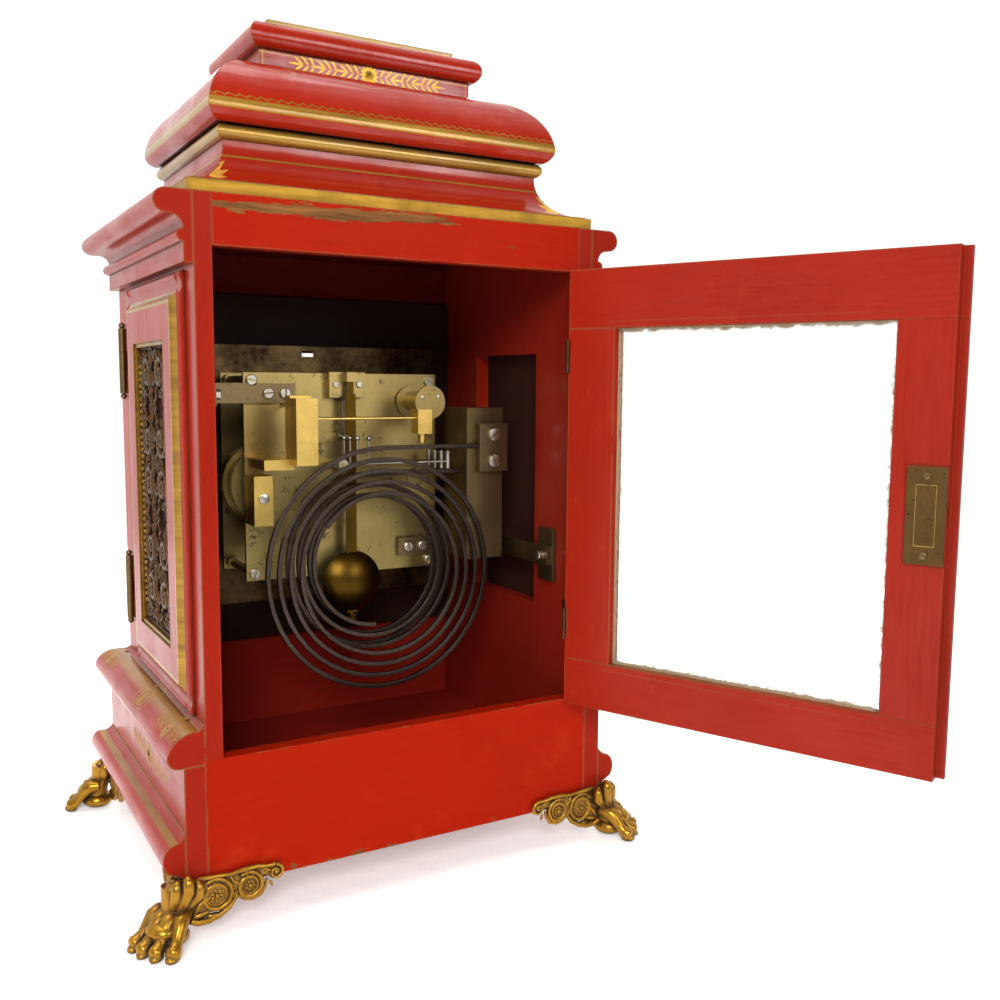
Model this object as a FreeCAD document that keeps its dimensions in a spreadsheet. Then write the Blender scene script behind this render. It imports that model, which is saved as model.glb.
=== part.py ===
import FreeCAD, Part
import math
import os
import re
import Sketcher
from FreeCAD import Placement, Rotation, Vector

# Bracket clock, millimetres. The origin is on the floor under the middle of the case.
# +Z is up, the dial looks along -Y and the back door is at +Y. The clock's right is +X.

doc = FreeCAD.newDocument("BracketClock")
sheet = doc.addObject("Spreadsheet::Sheet", "Sizes")
NAMES = []
PARTS = []


# ---------------------------------------------------------------- sizes

def size(name):
    """The present value of a named dimension."""
    return float(sheet.get(name))


WORD = re.compile(r"[A-Za-z_]+[A-Za-z_0-9]*")


def formula(text):
    """Point every size named in an expression at the sheet."""
    return WORD.sub(lambda word: f"Sizes.{word[0]}" if word[0] in NAMES else word[0], str(text))


# The case: outer sizes, boards and the lines where its storeys meet.
CASE = {
    "case_width": 314.4,
    "case_depth": 250.6,
    "board": 12.2,
    "door_thick": 22.8,
    "half_width": "=case_width / 2",
    "half_depth": "=case_depth / 2",
    "inside_half": "=half_width - board",
    "carcass_front": "=door_thick - half_depth",
    "base_bottom": 33,
    "base_panel_top": 124.85,
    "base_top": 150.1,
    "floor_level": 60,
    "opening_top": 470.5,
    "header_bottom": 458.4,
    "case_top": 504.7,
    "joint_gap": 0.3,
}
# Mouldings: how far each stands out from the case, and its members.
MOULDINGS = {
    "cornice_reach": 24.8,
    "cornice_torus": 8,
    "cornice_cove": 8.6,
    "cornice_bead": 4.2,
    "cornice_band": 6.4,
    "plinth_board": 14.8,
    "plinth_reach": 25.8,
    "plinth_nose": 130.4,
    "plinth_top": 122.2,
    "foot_mould_low": 44,
    "foot_mould_top": 76.9,
    "foot_mould_reach": 30.4,
    "foot_mould_nose": 59.4,
}
# The stepped top: half widths, with the depth narrower than the width by one fixed amount each side.
TOP = {
    "tier_inset": 38.7,
    "board_half": 159.2,
    "gilt_board": 8.7,
    "cove_foot": 156,
    "cove_head": 125.9,
    "cove_top": 547,
    "bead_half": 130.6,
    "bead_top": 558,
    "cushion_half": 138.2,
    "cushion_wide_at": 569,
    "cushion_top": 609,
    "neck_half": 86.7,
    "neck_top": 624,
    "crown_half": 95,
    "crown_wide_at": 633,
    "crown_top": 641.5,
    "cap_half": 77,
    "cap_top": 648.2,
}
# The raised frame, fret and cloth on each side.
SIDES = {
    "frame_centre": 11.4,
    "frame_rise": 7,
    "frame_half": 72,
    "frame_skirt": 18,
    "frame_low": 168,
    "frame_high": 438,
    "fret_half": 50,
    "fret_low": 190,
    "fret_high": 411,
    "fret_thick": 1.6,
    "slip": 3,
    "fret_border": 5,
    "cloth_thick": 0.8,
    "window_half": 52,
    "window_low": 193,
    "window_high": 408,
}
# The back door, hung on the clock's left and drawn standing open.
BACK_DOOR = {
    "door_from": "=joint_gap - inside_half",
    "door_to": "=inside_half - joint_gap",
    "door_low": "=base_panel_top + joint_gap",
    "door_high": "=opening_top - joint_gap",
    "back_door_thick": 14,
    "door_inner": "=half_depth - back_door_thick",
    "stile_hinge": 35.6,
    "stile_lock": 36,
    "rail_low_top": 158,
    "rail_high_low": 430,
    "glass_thick": 2.2,
    "glass_seat": 5,
    "lip_width": 5,
    "lip_thick": 4,
    "rest_angle": 113.7,
    "bead_size": 5,
    "lock_wide": 24.6,
    "lock_inset": 5.3,
    "lock_to": "=door_to - lock_inset",
    "lock_from": "=lock_to - lock_wide",
    "lock_low": 268,
    "lock_high": 331.7,
    "lock_thick": 2.4,
    "bolt_low": 293,
    "bolt_high": 309,
    "bolt_throw": 10,
    "bolt_thick": 5,
    "bolt_fit": 0.2,
    "knuckle": 2.5,
    "knuckle_out": 2.8,
    "leaf_length": 25.4,
    "leaf_width": 17,
    "leaf_thick": 1.3,
    "hinge_low": 178.6,
    "hinge_high": 391.2,
    "pin_radius": 1,
    "pin_fit": 0.05,
}
# The front door, hung on the clock's right and shut.
FRONT_DOOR = {
    "front_stile": 32,
    "front_rail": 36,
    "front_glass": 2.4,
    "front_leaf": 54,
    "front_leaf_width": 11,
    "front_knuckle": 2.9,
    "front_hinge_low": 180,
    "front_hinge_high": 372,
    "ball_tip": 2.6,
    "latch_low": 293,
    "latch_high": 307,
    "latch_wide": 3,
    "latch_reach": 7,
    "latch_lift": 4,
    "latch_room": 1.5,
    "latch_level": 300,
}
# The dial.
DIAL = {
    "dial_half": 127,
    "dial_low": 184.5,
    "dial_high": 415,
    "dial_thick": 2,
    "dial_back": -96.5,
    "mask_half": 121,
    "mask_low": 190.5,
    "mask_high": 409,
    "ring_outer": 104,
    "ring_inner": 76,
    "ring_thick": 1.6,
    "hand_centre": 300,
    "hour_hand_long": 62,
    "minute_hand_long": 94,
    "slot_half": 5.5,
    "slot_low": 405.6,
    "slot_high": 411,
    "dial_foot": 3,
    "winding_hole": 5.2,
    "winding_square": 4.4,
    "centre_hole": 6,
}
# The movement's plates and pillars.
PLATES = {
    "plate_half": 86,
    "plate_low": 220,
    "plate_high": 390,
    "back_plate_y": -10,
    "back_plate_thick": 3.5,
    "front_plate_y": -80,
    "front_plate_thick": 3.5,
    "pillar_x": 79.5,
    "pillar_low": 226,
    "pillar_high": 384,
    "pillar_radius": 5,
    "pillar_screw": 4.2,
    "screw_head": 2.2,
    "pivot": 1.5,
    "pivot_fit": 0.05,
    "arbor": 2.4,
}
# Brackets that carry the movement from the side walls, and the gong stand on the lower one.
SUPPORTS = {
    "strap_high": 16,
    "strap_thick": 4.5,
    "strap_upper": 365.4,
    "strap_lower": 231.5,
    "strap_reach": 97,
    "strap_upper_from": 44,
    "strap_lower_from": 48,
    "wall_plate_thick": 4,
    "wall_plate_back": 98.5,
    "wall_plate_long": 22,
    "wall_plate_tall": 44,
    "wall_screw": 3.6,
    "stand_near": 92.4,
    "stand_far": 127.3,
    "stand_front": 38,
    "stand_high": 361.7,
    "clamp_thick": 7,
    "clamp_inner": 100,
    "clamp_low": 308,
    "clamp_high": 348.5,
    "clamp_screw": 5.4,
}
# Gongs: square rod wound flat, from the clamp round over the top.
GONGS = {
    "gong_rod": 3.6,
    "gong_x": -13.6,
    "gong_top": 330,
    "gong_y": 42,
    "gong_radius": 101,
    "gong_pitch": 9.2,
    "gong_turns": 4.15,
    "quarter_top": 307.5,
    "quarter_radius": 75,
    "quarter_turns": 2.5,
    "quarter_y_back": 23.3,
    "quarter_y_front": 12.3,
}
# Going train: wheels and pinions, with the arbors placed by their own pitch radii.
WHEELS = {
    "wheel_teeth": 96,
    "pinion_teeth": 8,
    "great_module": 0.7,
    "centre_module": 0.55,
    "third_module": 0.5,
    "escape_z": 350,
    "barrel_x": 61,
    "barrel_z": 298,
    "barrel_radius": 31,
    "barrel_front": -66,
    "barrel_back": -26,
    "flange_radius": 34.4,
    "flange_front": -44,
    "flange_back": -42,
    "tooth_tip": 0.9,
    "great_front": -24,
    "great_thick": 3,
    "centre_wheel_y": -70,
    "third_wheel_y": -31,
    "train_thick": 1.5,
    "escape_wheel_y": -50,
    "escape_radius": 17,
    "escape_teeth": 30,
    "motion_teeth": 36,
    "motion_module": 0.6,
    "hour_teeth": 96,
    "motion_y": -84.5,
    "hour_y": -90,
    "wheel_sheet": 1.2,
}
# Pendulum, crutch and the cock that carries them.
PENDULUM = {
    "swing_z": 378,
    "pendulum_y": 4,
    "rod_wide": 9,
    "rod_thick": 1.6,
    "bob_z": 215,
    "bob_radius": 26,
    "bob_thick": 20,
    "nut_radius": 5,
    "cock_half": 16,
    "cock_low": 370,
    "cock_high": 391,
    "cock_front": -5,
    "cock_thick": 3,
    "crutch_low": 335,
    "crutch_wide": 5,
    "fork_pin": 0.8,
    "fork_fit": 0.15,
    "swing_angle": 4,
}
# Hammers.
HAMMERS = {
    "hammer_x": 54,
    "hammer_z": 363.5,
    "hammer_block": 17.5,
    "hammer_low": 318,
    "hammer_high": 372,
    "hammer_front": 35,
    "hammer_back": 49,
    "stem_radius": 1.1,
    "stem_z": 354,
    "head_x": -47.5,
    "head_wide": 13,
    "head_low": 341,
    "head_high": 361,
    "head_deep": 13,
    "tip_low": 333.5,
    "tip_radius": 3.4,
    "quarter_x": 16,
    "quarter_z": 316,
    "quarter_first": 9.5,
    "quarter_step": 5.5,
    "quarter_collar": 4,
    "quarter_wire": 0.9,
    "quarter_head_x": -70,
    "quarter_head_step": 3.3,
    "quarter_head": 2.3,
    "quarter_head_low": 309.9,
    "quarter_head_high": 325,
    "ball_pin_top": 337,
    "ball_radius": 2.1,
    "chime_x": -61.5,
    "chime_z": 366.5,
    "chime_drum": 9,
    "chime_disc": 14,
    "chime_disc_thick": 2,
    "chime_rear": 30,
    "second_teeth": 76,
    "second_pinion": 16,
}
# Paw feet.
FEET = {
    "foot_side": 204,
    "foot_back": 140,
    "foot_front": 163,
    "foot_high": "=base_bottom",
    "toe_radius": 8.5,
    "arm_long": 82,
    "arm_thick": 6,
}
GROUPS = (
    CASE, MOULDINGS, TOP, SIDES, BACK_DOOR, FRONT_DOOR, DIAL, PLATES, SUPPORTS, GONGS,
    WHEELS, PENDULUM, HAMMERS, FEET,
)


def keep(group):
    """Write the sizes of a group into the sheet, each under its own name."""
    for name, value in group.items():
        NAMES.append(name)
        sheet.set(f"A{len(NAMES)}", name)
        sheet.set(f"B{len(NAMES)}", str(value))
        sheet.setAlias(f"B{len(NAMES)}", name)


for group in GROUPS:
    keep(group)
doc.recompute()


# ---------------------------------------------------------------- tools

def bind(piece, **rules):
    """Bind properties of a piece to expressions on the sizes."""
    for name, rule in rules.items():
        piece.setExpression(name.replace("_", "."), formula(rule))
    return piece


def box(x, y, z):
    """A block between two expressions on each axis."""
    piece = doc.addObject("Part::Box", "Block")
    sides = zip(("Length", "Width", "Height"), "xyz", (x, y, z))
    for side, axis, (low, high) in sides:
        piece.setExpression(side, formula(f"({high}) - ({low})"))
        piece.setExpression(f"Placement.Base.{axis}", formula(low))
    return piece


TURNS = {"x": Rotation(Vector(0, 1, 0), 90), "y": Rotation(Vector(1, 0, 0), -90), "z": Rotation()}


def rod(axis, radius, start, end, first, second):
    """A round rod along an axis; first and second are its other two coordinates in order."""
    piece = doc.addObject("Part::Cylinder", "Rod")
    piece.Placement = Placement(Vector(), TURNS[axis])
    places = [first, second]
    places.insert("xyz".index(axis), start)
    for letter, place in zip("xyz", places):
        piece.setExpression(f"Placement.Base.{letter}", formula(place))
    piece.setExpression("Radius", formula(radius))
    piece.setExpression("Height", formula(f"({end}) - ({start})"))
    return piece


def ball(radius, x, y, z):
    """A ball about a point."""
    piece = doc.addObject("Part::Sphere", "Ball")
    for letter, place in zip("xyz", (x, y, z)):
        piece.setExpression(f"Placement.Base.{letter}", formula(place))
    piece.setExpression("Radius", formula(radius))
    return piece


def fuse(*pieces):
    """Several pieces made one."""
    joined = doc.addObject("Part::MultiFuse", "Joined")
    joined.Shapes = list(pieces)
    return joined


def cut(base, *tools):
    """A piece with others taken out of it."""
    result = doc.addObject("Part::Cut", "Cut")
    result.Base = base
    result.Tool = tools[0] if len(tools) == 1 else fuse(*tools)
    return result


def common(first, second):
    """What two pieces share."""
    result = doc.addObject("Part::MultiCommon", "Shared")
    result.Shapes = [first, second]
    return result


def form(shape):
    """A shape worked out by a function of the sizes."""
    piece = doc.addObject("Part::Feature", "Form")
    piece.Shape = shape
    return piece


def node(label, *pieces):
    """Register a sub-part: one piece, or a group of separate solids."""
    if len(pieces) == 1:
        result = pieces[0]
    else:
        result = doc.addObject("Part::Compound", "Group")
        result.Links = list(pieces)
    result.Label = label
    PARTS.append(result)
    return result


def draw(sketch, points):
    """A closed outline whose corners are tied to expressions on the sizes."""
    count = len(points)
    first = sketch.GeometryCount
    spots = [
        Vector(math.cos(math.tau * i / count), math.sin(math.tau * i / count), 0)
        for i in range(count)
    ]
    for i in range(count):
        sketch.addGeometry(Part.LineSegment(spots[i], spots[(i + 1) % count]), False)
    for i in range(count):
        sketch.addConstraint(
            Sketcher.Constraint("Coincident", first + i, 2, first + (i + 1) % count, 1)
        )
    for i, (across, along) in enumerate(points):
        tie(sketch, "DistanceX", first + i, 1, across)
        tie(sketch, "DistanceY", first + i, 1, along)


def ring(sketch, radius, across, along):
    """A circle whose centre and radius are tied to expressions."""
    index = sketch.addGeometry(Part.Circle(Vector(1, 1, 0), Vector(0, 0, 1), 1), False)
    tie(sketch, "DistanceX", index, 3, across)
    tie(sketch, "DistanceY", index, 3, along)
    at = sketch.addConstraint(Sketcher.Constraint("Radius", index, 1.0))
    sketch.setExpression(f"Constraints[{at}]", formula(radius))


def tie(sketch, kind, index, end, rule):
    """Hold one coordinate of a sketch point to an expression."""
    at = sketch.addConstraint(Sketcher.Constraint(kind, -1, 1, index, end, 1.0))
    sketch.setExpression(f"Constraints[{at}]", formula(rule))


def new_sketch(body, plane, start="0"):
    """A sketch on one of a body's own planes, moved along the plane's normal."""
    sketch = body.newObject("Sketcher::SketchObject", "Outline")
    origin = [f for f in body.Origin.OriginFeatures if f.Role == plane][0]
    sketch.AttachmentSupport = [(origin, "")]
    sketch.MapMode = "FlatFace"
    sketch.setExpression("AttachmentOffset.Base.z", formula(start))
    return sketch


def upright_plate(outline, holes, front, thick):
    """A plate across the clock: an outline in X and Z, padded from its front towards the back."""
    body = doc.addObject("PartDesign::Body", "Plate")
    sketch = new_sketch(body, "XZ_Plane", f"-({front})")
    draw(sketch, outline)
    for hole in holes:
        if len(hole) == 3:
            ring(sketch, *hole)
        else:
            draw(sketch, hole)
    pad = body.newObject("PartDesign::Pad", "Pad")
    pad.Profile = sketch
    pad.Reversed = True
    bind(pad, Length=thick)
    return body


def oblong(x, z):
    """The four corners of a rectangle between two pairs of expressions."""
    return [(x[0], z[0]), (x[1], z[0]), (x[1], z[1]), (x[0], z[1])]


def trace(steps, place):
    """Edges through the steps of a profile: (out, up), or a point on an arc and its end."""
    edges = []
    here = place(*steps[0])
    for step in steps[1:]:
        there = place(*step[-2:])
        if len(step) == 2:
            edges.append(Part.LineSegment(here, there).toShape())
        else:
            edges.append(Part.Arc(here, place(*step[:2]), there).toShape())
        here = there
    return edges


def filled(edges):
    """The face inside a closed run of edges."""
    return Part.Face(Part.Wire(Part.__sortEdges__(edges)))


def extruded(low_side, high_side, reach):
    """The solid between two mirrored profiles, carried a long way both ways."""
    ends = []
    for vertex in (0, -1):
        a = low_side[0].firstVertex(True).Point if vertex == 0 else low_side[-1].lastVertex(True).Point
        b = high_side[0].firstVertex(True).Point if vertex == 0 else high_side[-1].lastVertex(True).Point
        ends.append(Part.LineSegment(a, b).toShape())
    face = filled(low_side + high_side + ends)
    face.translate(reach * -0.5)
    return face.extrude(reach)


def hipped(steps, across, deep):
    """A profile carried round a rectangle and mitred at its four corners."""
    reach = 900
    sides = [trace(steps, lambda out, up, s=s: Vector(s * (across + out), 0, up)) for s in (-1, 1)]
    along = extruded(sides[0], sides[1], Vector(0, reach, 0))
    front = trace(steps, lambda out, up: Vector(0, -(deep + out), up))
    back = trace(steps, lambda out, up: Vector(0, deep + out, up))
    return along.common(extruded(front, back, Vector(reach, 0, 0)))


def prism(points, low, high):
    """An upright prism over points in plan."""
    corners = [Vector(x, y, low) for x, y in points]
    face = Part.Face(Part.makePolygon(corners + corners[:1]))
    return face.extrude(Vector(0, 0, high - low))


def run_of(steps, place, reach):
    """A profile, closed by a straight line, drawn at one place and carried a length."""
    closing = Part.LineSegment(place(*steps[-1][-2:]), place(*steps[0])).toShape()
    return filled(trace(steps, place) + [closing]).extrude(reach)


def moulding(steps, across, deep):
    """A moulding round the front and sides of a storey, in right, front and left mitred lengths."""
    far = 80
    wide = across + far
    back = size("half_depth")
    levels = [step[-1] for step in steps]
    low = min(levels) - 1
    high = max(levels) + 1
    front_plan = [(-across, -deep), (across, -deep), (wide, -deep - far), (-wide, -deep - far)]
    right_plan = [(across, -deep), (wide, -deep - far), (wide, back), (across, back)]
    front = run_of(steps, lambda out, up: Vector(-wide, -deep - out, up), Vector(2 * wide, 0, 0))
    right = run_of(steps, lambda out, up: Vector(across + out, back, up), Vector(0, -back - deep - far, 0))
    right = right.common(prism(right_plan, low, high))
    left = right.mirror(Vector(0, 0, 0), Vector(1, 0, 0))
    return [form(right), form(front.common(prism(front_plan, low, high))), form(left)]


# ---------------------------------------------------------------- case

def carcass():
    """Boards of the box that holds everything."""
    wall = ("inside_half", "half_width")
    deep = ("carcass_front", "half_depth")
    for name, side in (("side_panel_right", 1), ("side_panel_left", -1)):
        across = wall
        through = ("inside_half - 1", "half_width + 1")
        if side < 0:
            across = ("-half_width", "-inside_half")
            through = ("-half_width - 1", "1 - inside_half")
        panel = box(across, deep, ("base_bottom", "case_top"))
        window = box(
            through,
            ("frame_centre - window_half", "frame_centre + window_half"),
            ("window_low", "window_high"),
        )
        notch = box(through, ("half_depth - board", "half_depth + 1"), ("base_bottom - 1", "base_panel_top"))
        pockets = [window, notch]
        if side < 0:
            pockets.append(box(
                ("-inside_half - latch_wide - 2 * latch_room - 4", "-inside_half - 4"),
                ("carcass_front - 1", "carcass_front + latch_reach + latch_room"),
                ("latch_low - latch_room", "latch_high + latch_lift + latch_room"),
            ))
            for level in ("hinge_low", "hinge_high"):
                pockets.append(box(
                    ("-inside_half - leaf_thick", "1 - inside_half"),
                    ("half_depth - leaf_width", "half_depth + 1"),
                    (level, f"{level} + leaf_length"),
                ))
        else:
            pockets.append(box(
                ("inside_half - 1", "inside_half + bolt_throw - lip_width + 1"),
                ("door_inner", "half_depth - lip_thick"),
                ("bolt_low - 2", "bolt_high + 2"),
            ))
            for level in ("front_hinge_low", "front_hinge_high"):
                pockets.append(box(
                    ("half_width - front_leaf_width", "half_width + 1"),
                    ("carcass_front - 1", "carcass_front + leaf_thick"),
                    (level, f"{level} + front_leaf"),
                ))
        node(name, cut(panel, *pockets))
    inside = ("-inside_half", "inside_half")
    node("back_top_rail", box(inside, ("half_depth - board", "half_depth"), ("opening_top", "case_top")))
    whole = ("-half_width", "half_width")
    rear = ("half_depth - board", "half_depth")
    front = ("-half_depth", "carcass_front")
    between = ("carcass_front", "half_depth - board")
    node("base_back_panel", box(whole, rear, ("base_bottom", "base_panel_top")))
    header = box(whole, front, ("header_bottom", "case_top"))
    floor = box(inside, between, ("floor_level", "floor_level + board"))
    roof = box(inside, between, ("case_top - board", "case_top"))
    base = box(whole, front, ("base_bottom", "base_top"))
    node("carcass_boards", header, floor, roof, base)


def cornice():
    """Torus, cove, bead and band round the top of the case."""
    band = size("cornice_band")
    reach = size("cornice_reach")
    torus = size("cornice_torus")
    cove = size("cornice_cove")
    bead = size("cornice_bead")
    top = size("case_top")
    low = size("header_bottom")
    under = top - 2 * torus
    slant = math.sqrt(0.5)
    steps = [
        (0, low), (band, low + 0.5), (band, under - cove - 2 * bead),
        (band + bead, under - cove - bead, band, under - cove),
        (band + cove * (1 - slant), under - cove + cove * slant, band + cove, under),
        (reach - torus, under), (reach, top - torus, reach - torus, top), (0, top),
    ]
    return moulding(steps, size("half_width"), size("half_depth"))


def plinth():
    """The box-like base: three boards with a moulding above and another below."""
    node("cornice_moulding", *cornice())
    across = size("half_width")
    deep = size("half_depth")
    face = size("plinth_board")
    low = size("base_bottom")
    top = size("plinth_top")
    node("plinth_boards", *moulding([(0, low), (face, low), (face, top), (0, top)], across, deep))
    reach = size("plinth_reach")
    nose = size("plinth_nose")
    crest = size("base_top")
    steps = [
        (0, top), (face, top), (reach - 1.2, (top + nose) / 2 - 0.5, reach, nose),
        (reach - 6, crest - 9, face - 10.4, crest - 3.5), (face - 11.3, crest - 3), (0, crest),
    ]
    node("base_upper_moulding", *moulding(steps, across, deep))
    foot_low = size("foot_mould_low")
    foot_top = size("foot_mould_top")
    foot_reach = size("foot_mould_reach")
    foot_nose = size("foot_mould_nose")
    steps = [
        (face, foot_low), (foot_reach - 3, foot_nose - 9),
        (foot_reach, foot_nose, foot_reach - 5, foot_nose + 9.5),
        (face + 5.3, foot_top - 6.3), (face + 2.2, foot_top - 3.6, face, foot_top),
    ]
    shifted = [tuple(v - face if i % 2 == 0 else v for i, v in enumerate(step)) for step in steps]
    node("base_lower_moulding", *moulding(shifted, across + face, deep + face))


def stepped_top():
    """Gilt board, cove and bead, cushion, neck and crown, one on another."""
    inset = size("tier_inset")
    top = size("case_top")
    board_top = top + size("gilt_board")
    node("top_gilt_board", box(
        ("-board_half", "board_half"), ("tier_inset - board_half", "board_half - tier_inset"),
        ("case_top", "case_top + gilt_board"),
    ))
    foot = size("cove_foot")
    head = size("cove_head")
    cove_top = size("cove_top")
    bead = size("bead_half")
    bead_top = size("bead_top")
    slant = math.sqrt(0.5)
    middle = (foot - (foot - head) * slant, cove_top - (cove_top - board_top - 1) * slant)
    tier("top_cove", inset, [
        (foot, board_top), (foot, board_top + 1), (*middle, head, cove_top),
        (bead, (cove_top + bead_top) / 2, head, bead_top),
    ])
    wide = size("cushion_half")
    wide_at = size("cushion_wide_at")
    high = size("cushion_top")
    neck = size("neck_half")
    hip = (wide - neck) * slant
    tier("top_cushion", inset, [
        (head - 2, bead_top), (wide - 7, bead_top), (wide - 2, bead_top + 4, wide, wide_at),
        (neck + hip, wide_at + (high - wide_at) * slant, neck + 3, high),
    ])
    neck_top = size("neck_top")
    tier("top_neck", inset, [(neck, high), (neck, neck_top)])
    crown = size("crown_half")
    crown_at = size("crown_wide_at")
    crown_top = size("crown_top")
    cap = size("cap_half")
    tier("top_cap", inset, [
        (neck, neck_top), (crown - 5, neck_top), (crown, crown_at, crown - 6, crown_top), (cap, crown_top),
        (cap, size("cap_top")),
    ])


def tier(label, inset, steps):
    """One storey of the top, as deep as it is wide less the inset at each side."""
    node(label, form(hipped(steps, 0, -inset)))


def onto_side(shape, side):
    """Lay a shape drawn flat, facing up, against the right or left side of the case."""
    turn = Placement(Vector(0, size("frame_centre"), 0), Rotation(Vector(1, 1, 1), 120))
    laid = shape.transformed(turn.toMatrix())
    return laid if side > 0 else laid.mirror(Vector(0, 0, 0), Vector(1, 0, 0))


def flat_block(half, low, high, under, over):
    """A block drawn flat: half its width in X, its height in Y and its thickness in Z."""
    return Part.makeBox(2 * half, high - low, over - under, Vector(-half, low, under))


def side_frames():
    """Raised frame, slip, fret and cloth on both sides."""
    half = size("frame_half")
    low = size("frame_low")
    high = size("frame_high")
    wall = size("half_width")
    rise = size("frame_rise")
    skirt = size("frame_skirt")
    fret = size("fret_half")
    fret_low = size("fret_low")
    fret_high = size("fret_high")
    slip = size("slip")
    cloth = size("cloth_thick")
    tall = (high - low) / 2
    steps = [
        (skirt, 0), (skirt - 1, 3.2, skirt - 5, 3.4), (2, 4.6, 0, rise), (-2, rise),
    ]
    slab = hipped(steps, half, tall)
    slab.translate(Vector(0, (high + low) / 2, wall))
    hole = flat_block(fret, fret_low, fret_high, wall - 1, wall + rise + 1)
    lip = flat_block(fret, fret_low, fret_high, wall + cloth, wall + rise - 1.5)
    lip_hole = flat_block(fret - slip, fret_low + slip, fret_high - slip, wall - 1, wall + rise + 1)
    cloth_block = flat_block(fret, fret_low, fret_high, wall, wall + cloth)
    fret_from = wall + cloth
    plate = pierced_fret(fret - slip, fret_low + slip, fret_high - slip, fret_from, size("fret_thick"))
    frames = []
    slips = []
    frets = []
    cloths = []
    for side in (1, -1):
        frames.append(form(onto_side(slab.cut(hole), side)))
        slips.append(form(onto_side(lip.cut(lip_hole), side)))
        frets.append(form(onto_side(plate, side)))
        cloths.append(form(onto_side(cloth_block, side)))
    node("side_frames", *frames, *slips)
    node("side_frets", *frets)
    node("fret_cloths", *cloths)


def pierced_fret(half, low, high, under, thick):
    """A brass fret: a solid border round rows of lozenge piercings, staggered."""
    columns = 5
    rows = 11
    border = size("fret_border")
    plate = Part.makePlane(2 * half, high - low, Vector(-half, low, under))
    step_x = 2 * (half - border) / columns
    step_y = (high - low - 2 * border) / rows
    holes = []
    for row in range(rows):
        shift = 0.5 * (row % 2)
        for column in range(columns - row % 2):
            x = -half + border + (column + 0.5 + shift) * step_x
            y = low + border + (row + 0.5) * step_y
            spots = [
                Vector(x - 0.42 * step_x, y, under), Vector(x, y - 0.46 * step_y, under),
                Vector(x + 0.42 * step_x, y, under), Vector(x, y + 0.46 * step_y, under),
            ]
            holes.append(Part.Face(Part.makePolygon(spots + spots[:1])))
    return plate.cut(holes).extrude(Vector(0, 0, thick))


# ---------------------------------------------------------------- feet

def paw_foot(side, end):
    """A cast paw under one corner, with a scroll arm along each face that it joins."""
    corner_x = size("half_width") + size("plinth_board")
    reach_x = size("foot_side")
    deep = size("half_depth") if end > 0 else size("half_depth") + size("plinth_board")
    reach_y = size("foot_back") if end > 0 else size("foot_front")
    high = size("foot_high")
    toe = size("toe_radius")
    thick = size("arm_thick")
    long = size("arm_long")
    tip = Vector(reach_x, reach_y, 0)
    heel = Vector(corner_x - 14, deep - 18, 0)
    away = (tip - heel).normalize()
    across = Vector(-away.y, away.x, 0)
    solids = []
    for place in (-1.5, -0.5, 0.5, 1.5):
        back = 0.35 * toe * abs(place) ** 1.5
        centre = tip - away * (toe + back) + across * (place * 1.1 * toe) + Vector(0, 0, toe * 0.62)
        root = centre - away * 2.2 * toe + Vector(0, 0, 0.8 * toe)
        solids.append(Part.makeSphere(toe * 0.8, centre))
        solids.append(Part.makeCylinder(toe * 0.62, (root - centre).Length, centre, root - centre))
    pad_from = tip - away * 3.4 * toe
    solids.append(Part.makeCone(2.3 * toe, 1.7 * toe, high - toe, pad_from, Vector(0, 0, 1)))
    ankle = pad_from + Vector(0, 0, high - toe - 1)
    solids.append(Part.makeCylinder(1.7 * toe, toe + 1, ankle, Vector(0, 0, 1)))
    paw = solids[0].multiFuse(solids[1:])
    under = Part.makeBox(2 * reach_x, 2 * reach_y, high, Vector(0, 0, 0))
    paw = paw.common(under)
    arms = []
    for along_x in (True, False):
        outline = [
            (0, 5), (0, high + 8), (long * 0.25, high + 10, long * 0.45, high + 3),
            (long * 0.75, high - 3, long, high - 1), (long + 3, high - 8, long - 6, high - 11),
            (long * 0.5, high - 12, long * 0.22, 10), (0, 5),
        ]
        arms.append(arm_plate(outline, along_x, corner_x, deep, thick))
    blank = paw.multiFuse(arms)
    blocked = Part.makeBox(2 * corner_x, 2 * deep, 60, Vector(-corner_x, -deep, high))
    foot = blank.cut(blocked)
    if side < 0:
        foot = foot.mirror(Vector(0, 0, 0), Vector(1, 0, 0))
    if end < 0:
        foot = foot.mirror(Vector(0, 0, 0), Vector(0, 1, 0))
    return foot


def arm_plate(outline, along_x, corner_x, deep, thick):
    """One scroll arm of a foot, standing against a face of the base near its corner."""
    if along_x:
        place = lambda run, up: Vector(corner_x + thick - run, deep, up)
        away = Vector(0, thick, 0)
    else:
        place = lambda run, up: Vector(corner_x, deep + thick - run, up)
        away = Vector(thick, 0, 0)
    return filled(trace(outline, place)).extrude(away)


def feet():
    """Two paw feet at the back and two at the front."""
    for name, end in (("paw_feet_back", 1), ("paw_feet_front", -1)):
        node(name, form(paw_foot(1, end)), form(paw_foot(-1, end)))


# ---------------------------------------------------------------- back door

def swung(label, *pieces):
    """Register a back door sub-part, drawn shut, standing open at the rest angle about the pins."""
    piece = doc.addObject("Part::Compound", "Group")
    piece.Links = list(pieces)
    piece.Placement = Placement(Vector(), Rotation(Vector(0, 0, 1), 1))
    pin_x = "(-inside_half)"
    pin_y = "(half_depth + knuckle_out)"
    angle = "(rest_angle * 1 deg)"
    piece.setExpression("Placement.Rotation.Angle", formula("rest_angle * 1 deg"))
    piece.setExpression(
        "Placement.Base.x", formula(f"{pin_x} * (1 - cos{angle}) + {pin_y} * sin{angle}"))
    piece.setExpression(
        "Placement.Base.y", formula(f"{pin_y} * (1 - cos{angle}) - {pin_x} * sin{angle}"))
    piece.Label = label
    PARTS.append(piece)


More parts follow.
